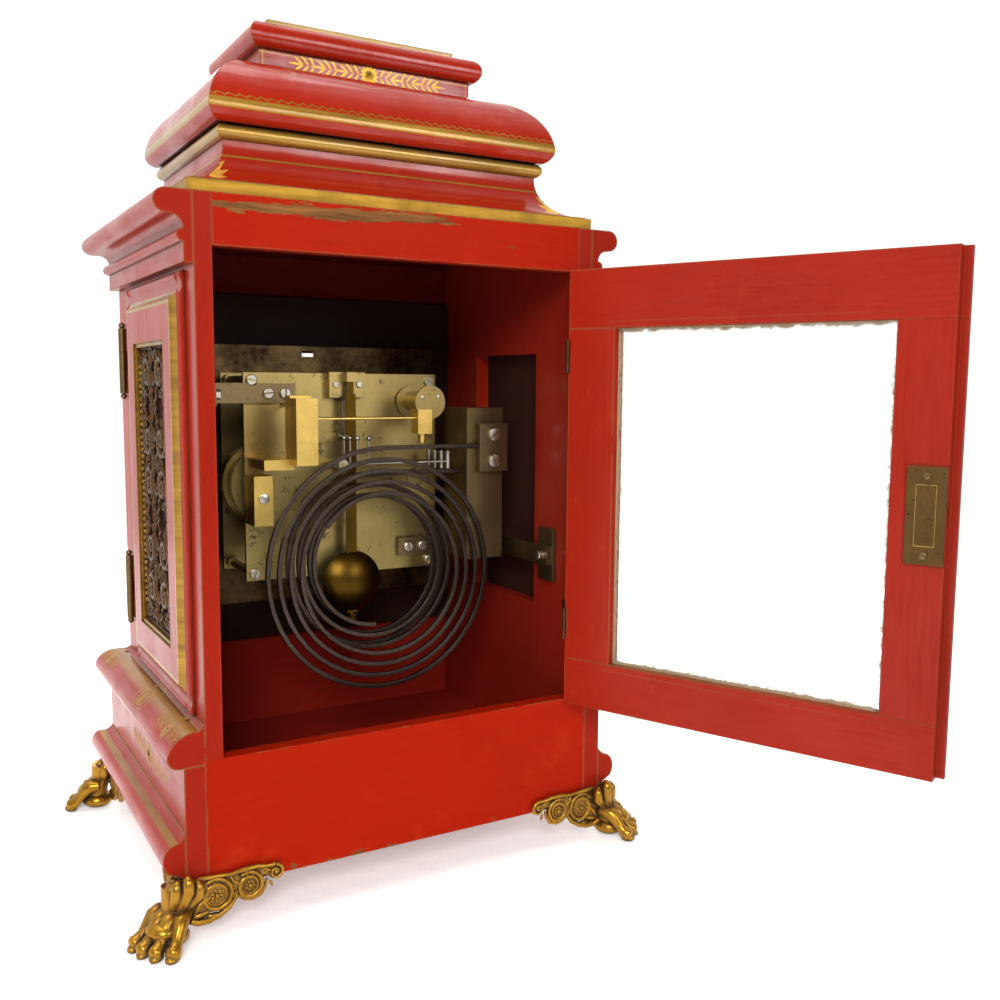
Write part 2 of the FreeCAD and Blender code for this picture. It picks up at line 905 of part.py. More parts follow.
def knuckles(x, y, radius, level, length):
    """The barrels of one butt hinge: two for the case, one for the door, and its pin."""
    third = f"({length}) / 3"
    spans = [(level, f"{level} + {third}"), (f"{level} + 2 * {third}", f"{level} + {length}")]
    middle = (f"{level} + {third} + pin_fit", f"{level} + 2 * {third} - pin_fit")
    case_barrels = [rod("z", radius, low, high, x, y) for low, high in spans]
    door_barrel = rod("z", radius, *middle, x, y)
    pin = rod("z", "pin_radius", f"{level} - 1", f"{level} + {length} + 1", x, y)
    bore = rod("z", "pin_radius + pin_fit", f"{level} - 2", f"{level} + {length} + 2", x, y)
    return case_barrels, door_barrel, pin, bore, spans, middle


def back_hinges():
    """Two small butt hinges on the clock's left, with their pins."""
    case_leaves = []
    door_leaves = []
    pins = []
    for level in ("hinge_low", "hinge_high"):
        x = "-inside_half"
        y = "half_depth + knuckle_out"
        case_barrels, door_barrel, pin, bore, spans, middle = knuckles(
            x, y, "knuckle", level, "leaf_length")
        whole = (level, f"{level} + leaf_length")
        deep = ("half_depth - leaf_width", "half_depth")
        tab = ("half_depth", "half_depth + knuckle_out")
        case_x = ("-inside_half - leaf_thick", "-inside_half")
        door_x = ("door_from", "door_from + leaf_thick")
        case_tabs = [box(case_x, tab, span) for span in spans]
        case_leaves.append(cut(fuse(box(case_x, deep, whole), *case_tabs, *case_barrels), bore))
        door_plate = fuse(box(door_x, deep, whole), box(door_x, tab, middle), door_barrel)
        door_leaves.append(cut(door_plate, bore))
        pins.append(pin)
    node("back_hinge_case_leaves", *case_leaves, *pins)
    swung("back_hinge_door_leaves", *door_leaves)


def back_door():
    """Glazed frame with its lip, lock, bolt and glazing beads."""
    thick = ("door_inner", "half_depth")
    sight_x = ("door_from + stile_hinge + bead_size", "door_to - stile_lock - bead_size")
    sight_z = ("rail_low_top + bead_size", "rail_high_low - bead_size")
    rebate = box(
        ("door_from + stile_hinge", "door_to - stile_lock"),
        ("door_inner - 1", "half_depth - glass_seat"), ("rail_low_top", "rail_high_low"),
    )
    lip = box(
        ("door_to - lip_width", "door_to + 1"), ("door_inner - 1", "half_depth - lip_thick"),
        ("door_low - 1", "door_high + 1"),
    )
    mortises = [
        box(
            ("door_from - 1", "door_from + leaf_thick"), ("half_depth - leaf_width", "half_depth + 1"),
            (level, f"{level} + leaf_length"),
        )
        for level in ("hinge_low", "hinge_high")
    ]
    bolt_y = ("door_inner + 2", "door_inner + 2 + bolt_thick")
    bolt_way = box(
        ("lock_from + 1", "door_to + 1"),
        ("door_inner + 2 - bolt_fit", "door_inner + 2 + bolt_thick + bolt_fit"),
        ("bolt_low - bolt_fit", "bolt_high + bolt_fit"),
    )
    hinge_stile = cut(box(("door_from", sight_x[0]), thick, sight_z), rebate, *mortises)
    lock_stile = cut(box((sight_x[1], "door_to"), thick, sight_z), rebate, lip, bolt_way)
    low_rail = cut(box(("door_from", "door_to"), thick, ("door_low", sight_z[0])), rebate, lip)
    high_rail = cut(box(("door_from", "door_to"), thick, (sight_z[1], "door_high")), rebate, lip)
    opening_x = ("door_from + stile_hinge", "door_to - stile_lock")
    opening_z = ("rail_low_top", "rail_high_low")
    glass_y = ("half_depth - glass_seat - glass_thick", "half_depth - glass_seat")
    swung("back_door_glass", box(opening_x, glass_y, opening_z))
    bead_y = ("door_inner", glass_y[0])
    beads = [
        box(opening_x, bead_y, (opening_z[0], sight_z[0])),
        box(opening_x, bead_y, (sight_z[1], opening_z[1])),
        box((opening_x[0], sight_x[0]), bead_y, sight_z),
        box((sight_x[1], opening_x[1]), bead_y, sight_z),
    ]
    swung("back_door_frame", hinge_stile, lock_stile, low_rail, high_rail, *beads)
    lock_x = ("lock_from", "lock_to")
    lock_y = ("door_inner - lock_thick", "door_inner")
    plate = box(lock_x, lock_y, ("lock_low", "lock_high"))
    middle = "(lock_from + lock_to) / 2"
    head_y = ("door_inner - lock_thick - 1", "door_inner - lock_thick")
    screws = [rod("y", "screw_head", *head_y, middle, level) for level in ("lock_low + 6", "lock_high - 6")]
    swung("back_door_lock", plate, *screws)
    bolt_x = ("lock_from + 2", "door_to - lip_width - joint_gap")
    swung("back_door_bolt", box(bolt_x, bolt_y, ("bolt_low", "bolt_high")))


# ---------------------------------------------------------------- front door

def front_door():
    """Glazed front door with long hinges, escutcheon and a lifting latch."""
    thick = ("-half_depth", "carcass_front - joint_gap")
    low = "base_top + joint_gap"
    high = "header_bottom - joint_gap"
    inner = ("front_stile - half_width", "half_width - front_stile")
    open_z = (f"{low} + front_rail", f"{high} - front_rail")
    glass_y = ("-half_depth + 11", "-half_depth + 11 + front_glass")
    glass_x = (f"{inner[0]} - glass_seat", f"{inner[1]} + glass_seat")
    glass_z = (f"{open_z[0]} - glass_seat", f"{open_z[1]} + glass_seat")
    pane = (glass_x, glass_y, glass_z)
    mortises = [
        box(
            ("half_width - leaf_width", "half_width + 1"),
            ("carcass_front - joint_gap - leaf_thick", "carcass_front"),
            (level, f"{level} + front_leaf"),
        )
        for level in ("front_hinge_low", "front_hinge_high")
    ]
    latch_x = ("-inside_half - 4 - latch_room - latch_wide", "-inside_half - 4 - latch_room")
    latch_y = ("carcass_front - 6", "carcass_front + latch_reach")
    latch_way = box(
        (f"{latch_x[0]} - bolt_fit", f"{latch_x[1]} + bolt_fit"), ("carcass_front - 6", "carcass_front"),
        ("latch_low - bolt_fit", "latch_high + latch_lift + bolt_fit"),
    )
    right = cut(box((inner[1], "half_width"), thick, (low, high)), box(*pane), *mortises)
    left = cut(box(("-half_width", inner[0]), thick, (low, high)), box(*pane), latch_way)
    bottom = cut(box(inner, thick, (low, open_z[0])), box(*pane))
    top = cut(box(inner, thick, (open_z[1], high)), box(*pane))
    node("front_door_frame", right, left, bottom, top)
    node("front_door_glass", box(*pane))
    node("front_door_latch", box(latch_x, latch_y, ("latch_low", "latch_high")))
    keyhole_x = "front_stile / 2 - half_width"
    shield = rod("y", 9, "-half_depth - 1.2", "-half_depth", keyhole_x, "latch_level")
    keyhole = rod("y", 2, "-half_depth - 2", "-half_depth + 1", keyhole_x, "latch_level")
    case_leaves = []
    door_leaves = []
    pins = []
    for level in ("front_hinge_low", "front_hinge_high"):
        x = "half_width + front_knuckle + 0.2"
        y = "carcass_front - joint_gap / 2"
        case_barrels, door_barrel, pin, bore, spans, middle = knuckles(
            x, y, "front_knuckle", level, "front_leaf")
        whole = (level, f"{level} + front_leaf")
        wide = ("half_width - front_leaf_width", "half_width")
        tab = ("half_width", x)
        case_y = ("carcass_front", "carcass_front + leaf_thick")
        door_y = ("carcass_front - joint_gap - leaf_thick", "carcass_front - joint_gap")
        case_tabs = [box(tab, case_y, span) for span in spans]
        case_leaves.append(cut(fuse(box(wide, case_y, whole), *case_tabs, *case_barrels), bore))
        door_wide = ("half_width - leaf_width", "half_width")
        door_plate = fuse(box(door_wide, door_y, whole), box(tab, door_y, middle), door_barrel)
        door_leaves.append(cut(door_plate, bore))
        tips = [ball("ball_tip", x, y, f"{level} - 1 - ball_tip / 2"),
                ball("ball_tip", x, y, f"{level} + front_leaf + 1 + ball_tip / 2")]
        over = box(
            (f"{x} - 5", f"{x} + 5"), (f"{y} - 5", f"{y} + 5"),
            (f"{level} - 0.2", f"{level} + front_leaf + 0.2"),
        )
        pins.append(fuse(pin, cut(fuse(*tips), over)))
    node("front_hinge_case_leaves", *case_leaves, *pins)
    node("front_door_fittings", *door_leaves, cut(shield, keyhole))


# ---------------------------------------------------------------- dial

def dial():
    """Mask, plate with its chapter ring and feet, and the two hands."""
    mask_front = "carcass_front"
    mask_y = (mask_front, "dial_back - dial_thick")
    mask = box(("-inside_half", "inside_half"), mask_y, ("base_top", "header_bottom"))
    sight = box(
        ("-mask_half", "mask_half"), (f"{mask_front} - 1", "dial_back"), ("mask_low", "mask_high"))
    node("dial_mask", cut(mask, sight))
    holes = [("centre_hole", "0", "hand_centre")]
    for x, z in winding_places():
        holes.append(("winding_hole", x, z))
    slot = oblong(("-slot_half", "slot_half"), ("slot_low", "slot_high"))
    face = oblong(("-dial_half", "dial_half"), ("dial_low", "dial_high"))
    plate = upright_plate(face, holes + [slot], "dial_back - dial_thick", "dial_thick")
    ring_y = ("dial_back - dial_thick - ring_thick", "dial_back - dial_thick")
    disc = rod("y", "ring_outer", *ring_y, "0", "hand_centre")
    eye = rod("y", "ring_inner", f"{ring_y[0]} - 1", f"{ring_y[1]} + 1", "0", "hand_centre")
    feet_at = [(x, z) for x in ("-70", "70") for z in ("hand_centre - 72", "hand_centre + 68")]
    posts = [rod("y", "dial_foot", "dial_back", "front_plate_y", x, z) for x, z in feet_at]
    node("dial_plate", plate, cut(disc, eye), *posts)


def winding_places():
    """Where the three winding squares come through the dial."""
    return [("barrel_x", "barrel_z"), ("-barrel_x", "barrel_z"), ("0", "hand_centre - going_drop")]


def hand(outline, bore, front, thick, angle):
    """A dial hand drawn upright about the middle of the dial, then turned to its place."""
    body = doc.addObject("PartDesign::Body", "Hand")
    sketch = new_sketch(body, "XZ_Plane")
    draw(sketch, outline)
    ring(sketch, bore, "0", "0")
    pad = body.newObject("PartDesign::Pad", "Pad")
    pad.Profile = sketch
    pad.Reversed = True
    bind(pad, Length=thick)
    body.Placement = Placement(Vector(), Rotation(Vector(0, 1, 0), angle))
    body.setExpression("Placement.Base.y", formula(front))
    body.setExpression("Placement.Base.z", formula("hand_centre"))
    return body


def blade(long, wide, boss):
    """Outline of a spade-shaped hand with a short tail."""
    shape = [
        (0.35, -2.2), (1, -1), (1, 1), (0.35, 2), (0.3, 0.52 * long), (wide, 0.62 * long),
        (wide * 0.8, 0.72 * long), (0.25, 0.82 * long), (0.1, long),
    ]
    right = [(f"{x} * {boss}", f"{y} * {boss}") for x, y in shape[:4]]
    right += [(f"{x} * {boss}", f"{y}") for x, y in shape[4:]]
    left = [(f"-({x})", z) for x, z in reversed(right)]
    return right + left


# ---------------------------------------------------------------- movement

def meeting(first, first_reach, second, second_reach, side):
    """The point at set distances from two others, on the chosen side of the line between them."""
    span = math.dist(first, second)
    along = (first_reach ** 2 - second_reach ** 2 + span ** 2) / (2 * span)
    off = math.sqrt(max(first_reach ** 2 - along ** 2, 0)) * side
    unit = ((second[0] - first[0]) / span, (second[1] - first[1]) / span)
    return (first[0] + along * unit[0] - off * unit[1], first[1] + along * unit[1] + off * unit[0])


def mesh_distance(module, wheel, pinion):
    """Centre distance of a wheel and pinion in mesh."""
    return module * (wheel + pinion) / 2


def arbor_places():
    """Where every arbor crosses the plates, worked out from the wheels that mesh."""
    wheel = size("wheel_teeth")
    pinion = size("pinion_teeth")
    great = mesh_distance(size("great_module"), wheel, pinion)
    second = mesh_distance(size("centre_module"), wheel, pinion)
    last = mesh_distance(size("third_module"), wheel, pinion)
    centre = (0, size("hand_centre"))
    escape = (0, size("escape_z"))
    strike = (size("barrel_x"), size("barrel_z"))
    chime = (-size("barrel_x"), size("barrel_z"))
    drum = (size("chime_x"), size("chime_z"))
    drive = mesh_distance(size("great_module"), size("second_teeth"), size("second_pinion"))
    motion = size("motion_module") * size("motion_teeth")
    lean = math.radians(10)
    return {
        "centre": centre,
        "going": (0, centre[1] - great),
        "third": meeting(centre, second, escape, last, 1),
        "escape": escape,
        "strike": strike,
        "chime": chime,
        "pin_wheel": (strike[0] - great * math.sin(lean), strike[1] + great * math.cos(lean)),
        "second": meeting(chime, great, drum, drive, 1),
        "drum": drum,
        "minute": (motion * 0.5, centre[1] - motion * math.sqrt(0.75)),
        "pallets": (0, size("swing_z")),
        "hammer": (size("hammer_x"), size("hammer_z")),
    }


def ring_wire(radius, at, y):
    """A circle facing along Y."""
    circle = Part.Circle(Vector(at[0], y, at[1]), Vector(0, 1, 0), radius)
    return Part.Wire(circle.toShape())


def toothed_wire(teeth, module, at, y, phase, pinion=False):
    """Outline of a clock wheel or pinion: straight-sided teeth with rounded-off tips."""
    pitch_radius = module * teeth / 2
    step = math.tau / teeth
    if pinion:
        levels = [(-1.4, 0.30), (0, 0.30), (0.45, 0.20), (0.6, 0.08)]
    else:
        levels = [(-1.2, 0.42), (0, 0.40), (0.6, 0.26), (size("tooth_tip"), 0.10)]
    corners = []
    for tooth in range(int(teeth)):
        middle = phase + tooth * step
        rise = [(pitch_radius + lift * module, middle - 0.5 * share * step) for lift, share in levels]
        fall = [(radius, 2 * middle - angle) for radius, angle in reversed(rise)]
        corners += rise + fall
    spots = [Vector(at[0] + r * math.cos(a), y, at[1] + r * math.sin(a)) for r, a in corners]
    return Part.makePolygon(spots + spots[:1])


def windows(inner, outer, arms, arm_wide, at, y):
    """Openings between the arms of a crossed-out wheel."""
    wires = []
    for arm in range(arms):
        spots = {}
        for radius in (inner, outer):
            half = arm_wide / 2 / radius
            for end, angle in (("a", half), ("m", math.pi / arms), ("b", math.tau / arms - half)):
                turn = arm * math.tau / arms + angle
                spots[radius, end] = Vector(
                    at[0] + radius * math.cos(turn), y, at[1] + radius * math.sin(turn))
        edges = [
            Part.Arc(spots[inner, "a"], spots[inner, "m"], spots[inner, "b"]).toShape(),
            Part.LineSegment(spots[inner, "b"], spots[outer, "b"]).toShape(),
            Part.Arc(spots[outer, "b"], spots[outer, "m"], spots[outer, "a"]).toShape(),
            Part.LineSegment(spots[outer, "a"], spots[inner, "a"]).toShape(),
        ]
        wires.append(Part.Wire(edges))
    return wires


def wheel(teeth, module, at, y, thick, bore, phase=0, crossed=True):
    """A wheel with its hole for the arbor and, if asked, five crossings."""
    wires = [toothed_wire(teeth, module, at, y, phase), ring_wire(bore, at, y)]
    if crossed:
        rim = module * (teeth / 2 - 1.2)
        wires += windows(rim * 0.28, rim * 0.86, 5, rim * 0.12, at, y)
    return form(Part.Face(wires, "Part::FaceMakerBullseye").extrude(Vector(0, thick, 0)))


def leaves(teeth, module, at, y, long, phase):
    """A pinion, cut in one with its arbor."""
    face = Part.Face(toothed_wire(teeth, module, at, y, phase, True))
    return form(face.extrude(Vector(0, long, 0)))


def disc(radius, at, y, thick, bore=0):
    """A plain disc, with a hole if asked."""
    wires = [ring_wire(radius, at, y)]
    if bore:
        wires.append(ring_wire(bore, at, y))
    return form(Part.Face(wires, "Part::FaceMakerBullseye").extrude(Vector(0, thick, 0)))


def shaft(radius, at, start, end):
    """An arbor along Y."""
    piece = doc.addObject("Part::Cylinder", "Arbor")
    piece.Radius = radius
    piece.Height = end - start
    piece.Placement = Placement(Vector(at[0], start, at[1]), TURNS["y"])
    return piece


def facing(origin, target):
    """Direction from one arbor to another, in the front view."""
    return math.atan2(target[1] - origin[1], target[0] - origin[0])


def pinion_phase(origin, target, teeth):
    """Turn a pinion so that a space, not a leaf, faces the wheel that drives it."""
    return facing(origin, target) + math.pi / teeth


def arbor_radii():
    """Radius of each arbor: the root of its own pinion, or the barrel arbor's size."""
    root = 2.4
    plain = size("arbor")
    great = root * size("great_module")
    return {
        "centre": great, "going": plain, "third": root * size("centre_module"),
        "escape": root * size("third_module"), "strike": plain, "chime": plain,
        "pin_wheel": great, "second": great, "drum": plain, "minute": size("pivot"),
        "pallets": size("pivot"), "hammer": size("pivot"),
    }


def plates(at, radii):
    """Back and front plates with every pivot hole, pillars and screws."""
    fit = size("pivot_fit")
    outline = oblong(("-plate_half", "plate_half"), ("plate_low", "plate_high"))
    back_front = "back_plate_y - back_plate_thick"
    rear = [name for name in at if name != "minute"]
    rear_holes = [(f"{radii[k] + fit}", f"{at[k][0]}", f"{at[k][1]}") for k in rear if k != "pallets"]
    window = oblong(("-6.5", "6.5"), ("swing_z - 6.5", "swing_z + 6.5"))
    front_holes = [(f"{radii[k] + fit}", f"{at[k][0]}", f"{at[k][1]}") for k in at if k != "hammer"]
    node("back_plate", upright_plate(outline, rear_holes + [window], back_front, "back_plate_thick"))
    node("front_plate", upright_plate(outline, front_holes, "front_plate_y", "front_plate_thick"))
    pillars = []
    for x in ("-pillar_x", "pillar_x"):
        for z in ("pillar_low", "pillar_high"):
            span = ("front_plate_y + front_plate_thick", back_front)
            waist = ("front_plate_y + front_plate_thick + 8", f"{back_front} - 8")
            collars = [rod("y", "pillar_radius", span[0], waist[0], x, z),
                       rod("y", "pillar_radius", waist[1], span[1], x, z)]
            core = rod("y", "pillar_radius * 0.7", *waist, x, z)
            head = rod("y", "pillar_screw", "back_plate_y", "back_plate_y + screw_head", x, z)
            pillars += [fuse(core, *collars), head]
    node("movement_pillars", *pillars)


def brackets():
    """Two angle brackets from the back plate to the side walls, and the gong stand on the lower one."""
    back = "back_plate_y"
    outer = f"({back} + strap_thick)"
    straps = []
    fixings = []
    for side, start, low in ((1, "strap_upper_from", "strap_upper"), (-1, "strap_lower_from", "strap_lower")):
        tall = (low, f"{low} + strap_high")
        wall = "(inside_half - wall_plate_thick)"
        run = span_x(side, start, wall)
        leg = span_x(side, f"{wall} - strap_thick", wall)
        strap = fuse(box(run, (back, outer), tall), box(leg, (back, "strap_reach"), tall))
        pillar = rod(
            "y", "pillar_screw + joint_gap", f"{back} - 1", f"{outer} + 1", f"{side} * pillar_x",
            "pillar_high" if side > 0 else "pillar_low")
        straps.append(cut(strap, pillar))
        middle = f"({low} + strap_high / 2)"
        plate_x = span_x(side, wall, "inside_half")
        fixings.append(box(
            plate_x, ("wall_plate_back - wall_plate_long", "wall_plate_back"),
            (f"{middle} - wall_plate_tall / 2", f"{middle} + wall_plate_tall / 2"),
        ))
        screw_x = span_x(side, f"{wall} - strap_thick - 4", f"{wall} - strap_thick")
        fixings.append(rod("x", "wall_screw", *screw_x, "strap_reach - 8", middle))
        for step in (9, 23):
            x = f"{side} * ({start} + {step})"
            fixings.append(rod("y", "pillar_screw", outer, f"{outer} + screw_head", x, middle))
    node("movement_brackets", *straps, *fixings)
    rod_half = "gong_rod / 2"
    stand_x = ("-stand_far", "-stand_near")
    slots = [
        box(
            ("-stand_near - 10", "-stand_near + 1"), (f"{y} - {rod_half}", f"{y} + {rod_half}"),
            (f"quarter_top - {rod_half}", f"quarter_top + {rod_half}"),
        )
        for y in ("quarter_y_front", "quarter_y_back")
    ]
    stand = cut(box(stand_x, (outer, "stand_front"), ("strap_lower", "stand_high")), *slots)
    clamp_y = ("stand_front", "gong_y + gong_rod / 2 + 3")
    grip = box(
        ("-clamp_inner - 12", "-clamp_inner + 1"), (f"gong_y - {rod_half}", f"gong_y + {rod_half}"),
        (f"gong_top - {rod_half}", f"gong_top + {rod_half}"),
    )
    clamp = cut(box(("-stand_far", "-clamp_inner"), clamp_y, ("clamp_low", "clamp_high")), grip)
    screw_x = "-(clamp_inner + stand_far) / 2"
    heads = [
        rod("y", "clamp_screw", clamp_y[1], f"{clamp_y[1]} + screw_head", screw_x, level)
        for level in ("clamp_high - 9", "clamp_low + 9")
    ]
    node("gong_stand", stand, clamp, *heads)


def span_x(side, near, far):
    """A stretch across the clock, measured outwards on one side of it."""
    return (near, far) if side > 0 else (f"-({far})", f"-({near})")


def coil_path(start_x, top, centre_x, radius, pitch, turns, y):
    """A straight lead along the top, then half turns that each close in by half a pitch."""
    edges = [Part.LineSegment(Vector(start_x, y, top), Vector(centre_x, y, top)).toShape()]
    high = top
    low = None
    bend = radius - pitch / 4
    going_down = True
    left = turns * 2
    while left > 1e-6:
        middle_z = high - bend if going_down else low + bend
        share = min(1, left)
        begin = math.pi / 2 if going_down else -math.pi / 2
        spots = [
            Vector(centre_x + bend * math.cos(begin - part * share * math.pi), y,
                   middle_z + bend * math.sin(begin - part * share * math.pi))
            for part in (0, 0.5, 1)
        ]
        edges.append(Part.Arc(*spots).toShape())
        if going_down:
            low = middle_z - bend
        else:
            high = middle_z + bend
        going_down = not going_down
        bend -= pitch / 2
        left -= 1
    return Part.Wire(edges)


def wound(start_x, top, radius, turns, y):
    """A gong: square rod along its coil."""
    half = size("gong_rod") / 2
    pitch = size("gong_pitch")
    path = coil_path(start_x, top, size("gong_x"), radius, pitch, turns, y)
    corners = [
        Vector(start_x, y - half, top - half), Vector(start_x, y + half, top - half),
        Vector(start_x, y + half, top + half), Vector(start_x, y - half, top + half),
    ]
    section = Part.makePolygon(corners + corners[:1])
    rod_shape = path.makePipeShell([section], True, False)
    centre = Vector(size("gong_x"), y, top - radius)
    spots = path.discretize(Number=400)
    gap = min(
        abs((a - centre).Length - (b - centre).Length)
        for i, a in enumerate(spots) for b in spots[i + 30:]
        if a.distanceToPoint(b) < 1.5 * pitch
    )
    bends = [edge.Curve.Radius for edge in path.Edges[1:]]
    print(f"gong at y {y}: least gap between turns {gap - 2 * half:.2f} mm, "
          f"radii {', '.join(f'{bend:.1f}' for bend in bends)} mm")
    return form(rod_shape)


def gongs():
    """The hour gong in front and the two quarter gongs behind it."""
    node("hour_gong", wound(
        -size("clamp_inner") - 12, size("gong_top"), size("gong_radius"), size("gong_turns"), size("gong_y")))
    node("quarter_gongs", *[
        wound(-size("stand_near") - 10, size("quarter_top"), size("quarter_radius"),
              size("quarter_turns") - less, size(y))
        for less, y in ((0, "quarter_y_back"), (0.05, "quarter_y_front"))
    ])


# ---------------------------------------------------------------- trains

def barrel(label, at, radii, name, flanged, phase):
    """Spring barrel with its great wheel, arbor and winding square."""
    place = at[name]
    front = size("barrel_front")
    back = size("barrel_back")
    bore = radii[name]
    square = size("winding_square")
    dial_front = size("dial_back") - size("dial_thick")
    pieces = [disc(size("barrel_radius"), place, front, back - front, bore)]
    if flanged:
        middle = size("flange_front")
        thick = size("flange_back") - middle
        pieces.append(disc(size("flange_radius"), place, middle, thick, size("barrel_radius")))
    pieces.append(wheel(
        size("wheel_teeth"), size("great_module"), place, size("great_front"), size("great_thick"),
        bore, phase, crossed=False))
    pieces.append(shaft(bore, place, size("front_plate_y") - 2, size("back_plate_y") + 1))
    key = Part.makeBox(
        square, 18, square, Vector(place[0] - square / 2, dial_front - 1.5, place[1] - square / 2))
    pieces.append(form(key))
    return node(label, *pieces)


def trains(at, radii):
    """Going, striking and chiming trains, with the motion work in front."""
    teeth = size("wheel_teeth")
    pinion = size("pinion_teeth")
    great = size("great_module")
    thin = size("train_thick")
    back = size("back_plate_y")
    front = size("front_plate_y")
    pinion_y = size("great_front") - 2
    pinion_long = size("great_thick") + 4
    barrel("going_barrel", at, radii, "going", False, facing(at["going"], at["centre"]))
    barrel("strike_barrel", at, radii, "strike", True, facing(at["strike"], at["pin_wheel"]))
    barrel("chime_barrel", at, radii, "chime", True, facing(at["chime"], at["second"]))

    bore = radii["centre"]
    motion = (size("motion_teeth"), size("motion_module"))
    sheet_thick = size("wheel_sheet")
    cannon = wheel(
        *motion, at["centre"], size("motion_y"), sheet_thick, bore, facing(at["centre"], at["minute"]),
        crossed=False)
    node("centre_wheel",
         wheel(teeth, size("centre_module"), at["centre"], size("centre_wheel_y"), thin, bore,
               facing(at["centre"], at["third"])),
         cannon,
         fuse(leaves(pinion, great, at["centre"], pinion_y, pinion_long,
                     pinion_phase(at["centre"], at["going"], pinion)),
              shaft(bore, at["centre"], size("dial_back") - 11, back)))

    bore = radii["third"]
    node("third_wheel",
         wheel(teeth, size("third_module"), at["third"], size("third_wheel_y"), thin, bore,
               facing(at["third"], at["escape"])),
         fuse(leaves(pinion, size("centre_module"), at["third"], size("centre_wheel_y") - 2, thin + 4,
                     pinion_phase(at["third"], at["centre"], pinion)),
              shaft(bore, at["third"], front, back)))

    bore = radii["escape"]
    node("escape_wheel", escape_teeth(at["escape"], bore),
         fuse(leaves(pinion, size("third_module"), at["escape"], size("third_wheel_y") - 2, thin + 4,
                     pinion_phase(at["escape"], at["third"], pinion)),
              shaft(bore, at["escape"], front, back)))

    bore = radii["minute"]
    hour_module = size("motion_module") * 2 * size("motion_teeth") / (size("hour_teeth") + pinion)
    node("minute_wheel",
         wheel(*motion, at["minute"], size("motion_y"), sheet_thick, bore,
               pinion_phase(at["minute"], at["centre"], size("motion_teeth")), crossed=False),
         fuse(leaves(pinion, hour_module, at["minute"], size("hour_y") - 1, 4,
                     pinion_phase(at["minute"], at["centre"], pinion)),
              shaft(0.9, at["minute"], size("hour_y") - 1, size("motion_y")),
              shaft(bore, at["minute"], size("motion_y"), front + size("front_plate_thick"))))

    running = size("pivot_fit")
    pipe = 4
    hour_hub = radii["centre"] + running
    hub_long = size("hour_y") + sheet_thick - size("dial_back") + 7
    node("hour_hand",
         hand(blade(size("hour_hand_long"), 7, 6.2), f"{pipe}", "dial_back - 7", "wheel_sheet", -60),
         disc(pipe, at["centre"], size("dial_back") - 7, hub_long, hour_hub),
         wheel(size("hour_teeth"), hour_module, at["centre"], size("hour_y"), sheet_thick, pipe,
               facing(at["centre"], at["minute"]), crossed=False))
    node("minute_hand", hand(blade(size("minute_hand_long"), 4.5, 4.6), f"{radii['centre']}", "dial_back - 10", "wheel_sheet", 0))

    bore = radii["pin_wheel"]
    pin_disc = size("centre_wheel_y")
    pins = [
        shaft(0.7, (at["pin_wheel"][0] + 11.5 * math.cos(k * math.tau / 8),
                    at["pin_wheel"][1] + 11.5 * math.sin(k * math.tau / 8)), pin_disc - 4, pin_disc)
        for k in range(8)
    ]
    node("strike_pin_wheel",
         disc(14, at["pin_wheel"], pin_disc, thin, bore), *pins,
         fuse(leaves(pinion, great, at["pin_wheel"], pinion_y, pinion_long,
                     pinion_phase(at["pin_wheel"], at["strike"], pinion)),
              shaft(bore, at["pin_wheel"], front, back)))

    bore = radii["second"]
    node("chime_second_wheel",
         wheel(size("second_teeth"), great, at["second"], size("centre_wheel_y"), thin, bore,
               facing(at["second"], at["drum"])),
         fuse(leaves(pinion, great, at["second"], pinion_y, pinion_long,
                     pinion_phase(at["second"], at["chime"], pinion)),
              shaft(bore, at["second"], front, back)))

    bore = radii["drum"]
    rear = size("chime_rear")
    thick = size("chime_disc_thick")
    node("chime_drum",
         fuse(leaves(size("second_pinion"), great, at["drum"], size("centre_wheel_y") - 2, thin + 4,
                     pinion_phase(at["drum"], at["second"], size("second_pinion"))),
              shaft(bore, at["drum"], front, rear)),
         disc(size("chime_drum"), at["drum"], back + 2 + thick, rear - back - 2 - 2 * thick, bore),
         disc(size("chime_disc"), at["drum"], back + 2, thick, bore),
         disc(size("chime_disc"), at["drum"], rear - thick, thick, bore))


def escape_teeth(at, bore):
    """Escape wheel with thirty raked teeth."""
    teeth = int(size("escape_teeth"))
    tip = size("escape_radius")
    root = tip - 3
    step = math.tau / teeth
    spots = []
    for tooth in range(teeth):
        for radius, share in ((root, 0.0), (tip, 0.30), (tip, 0.36), (root, 0.5)):
            turn = (tooth + share) * step
            spots.append(Vector(at[0] + radius * math.cos(turn), 0, at[1] + radius * math.sin(turn)))
    y = size("escape_wheel_y")
    outline = Part.makePolygon([Vector(s.x, y, s.z) for s in spots + spots[:1]])
    wires = [outline, ring_wire(bore, at, y)] + windows(4, root - 2, 5, 1.8, at, y)
    face = Part.Face(wires, "Part::FaceMakerBullseye")
    return form(face.extrude(Vector(0, size("train_thick"), 0)))


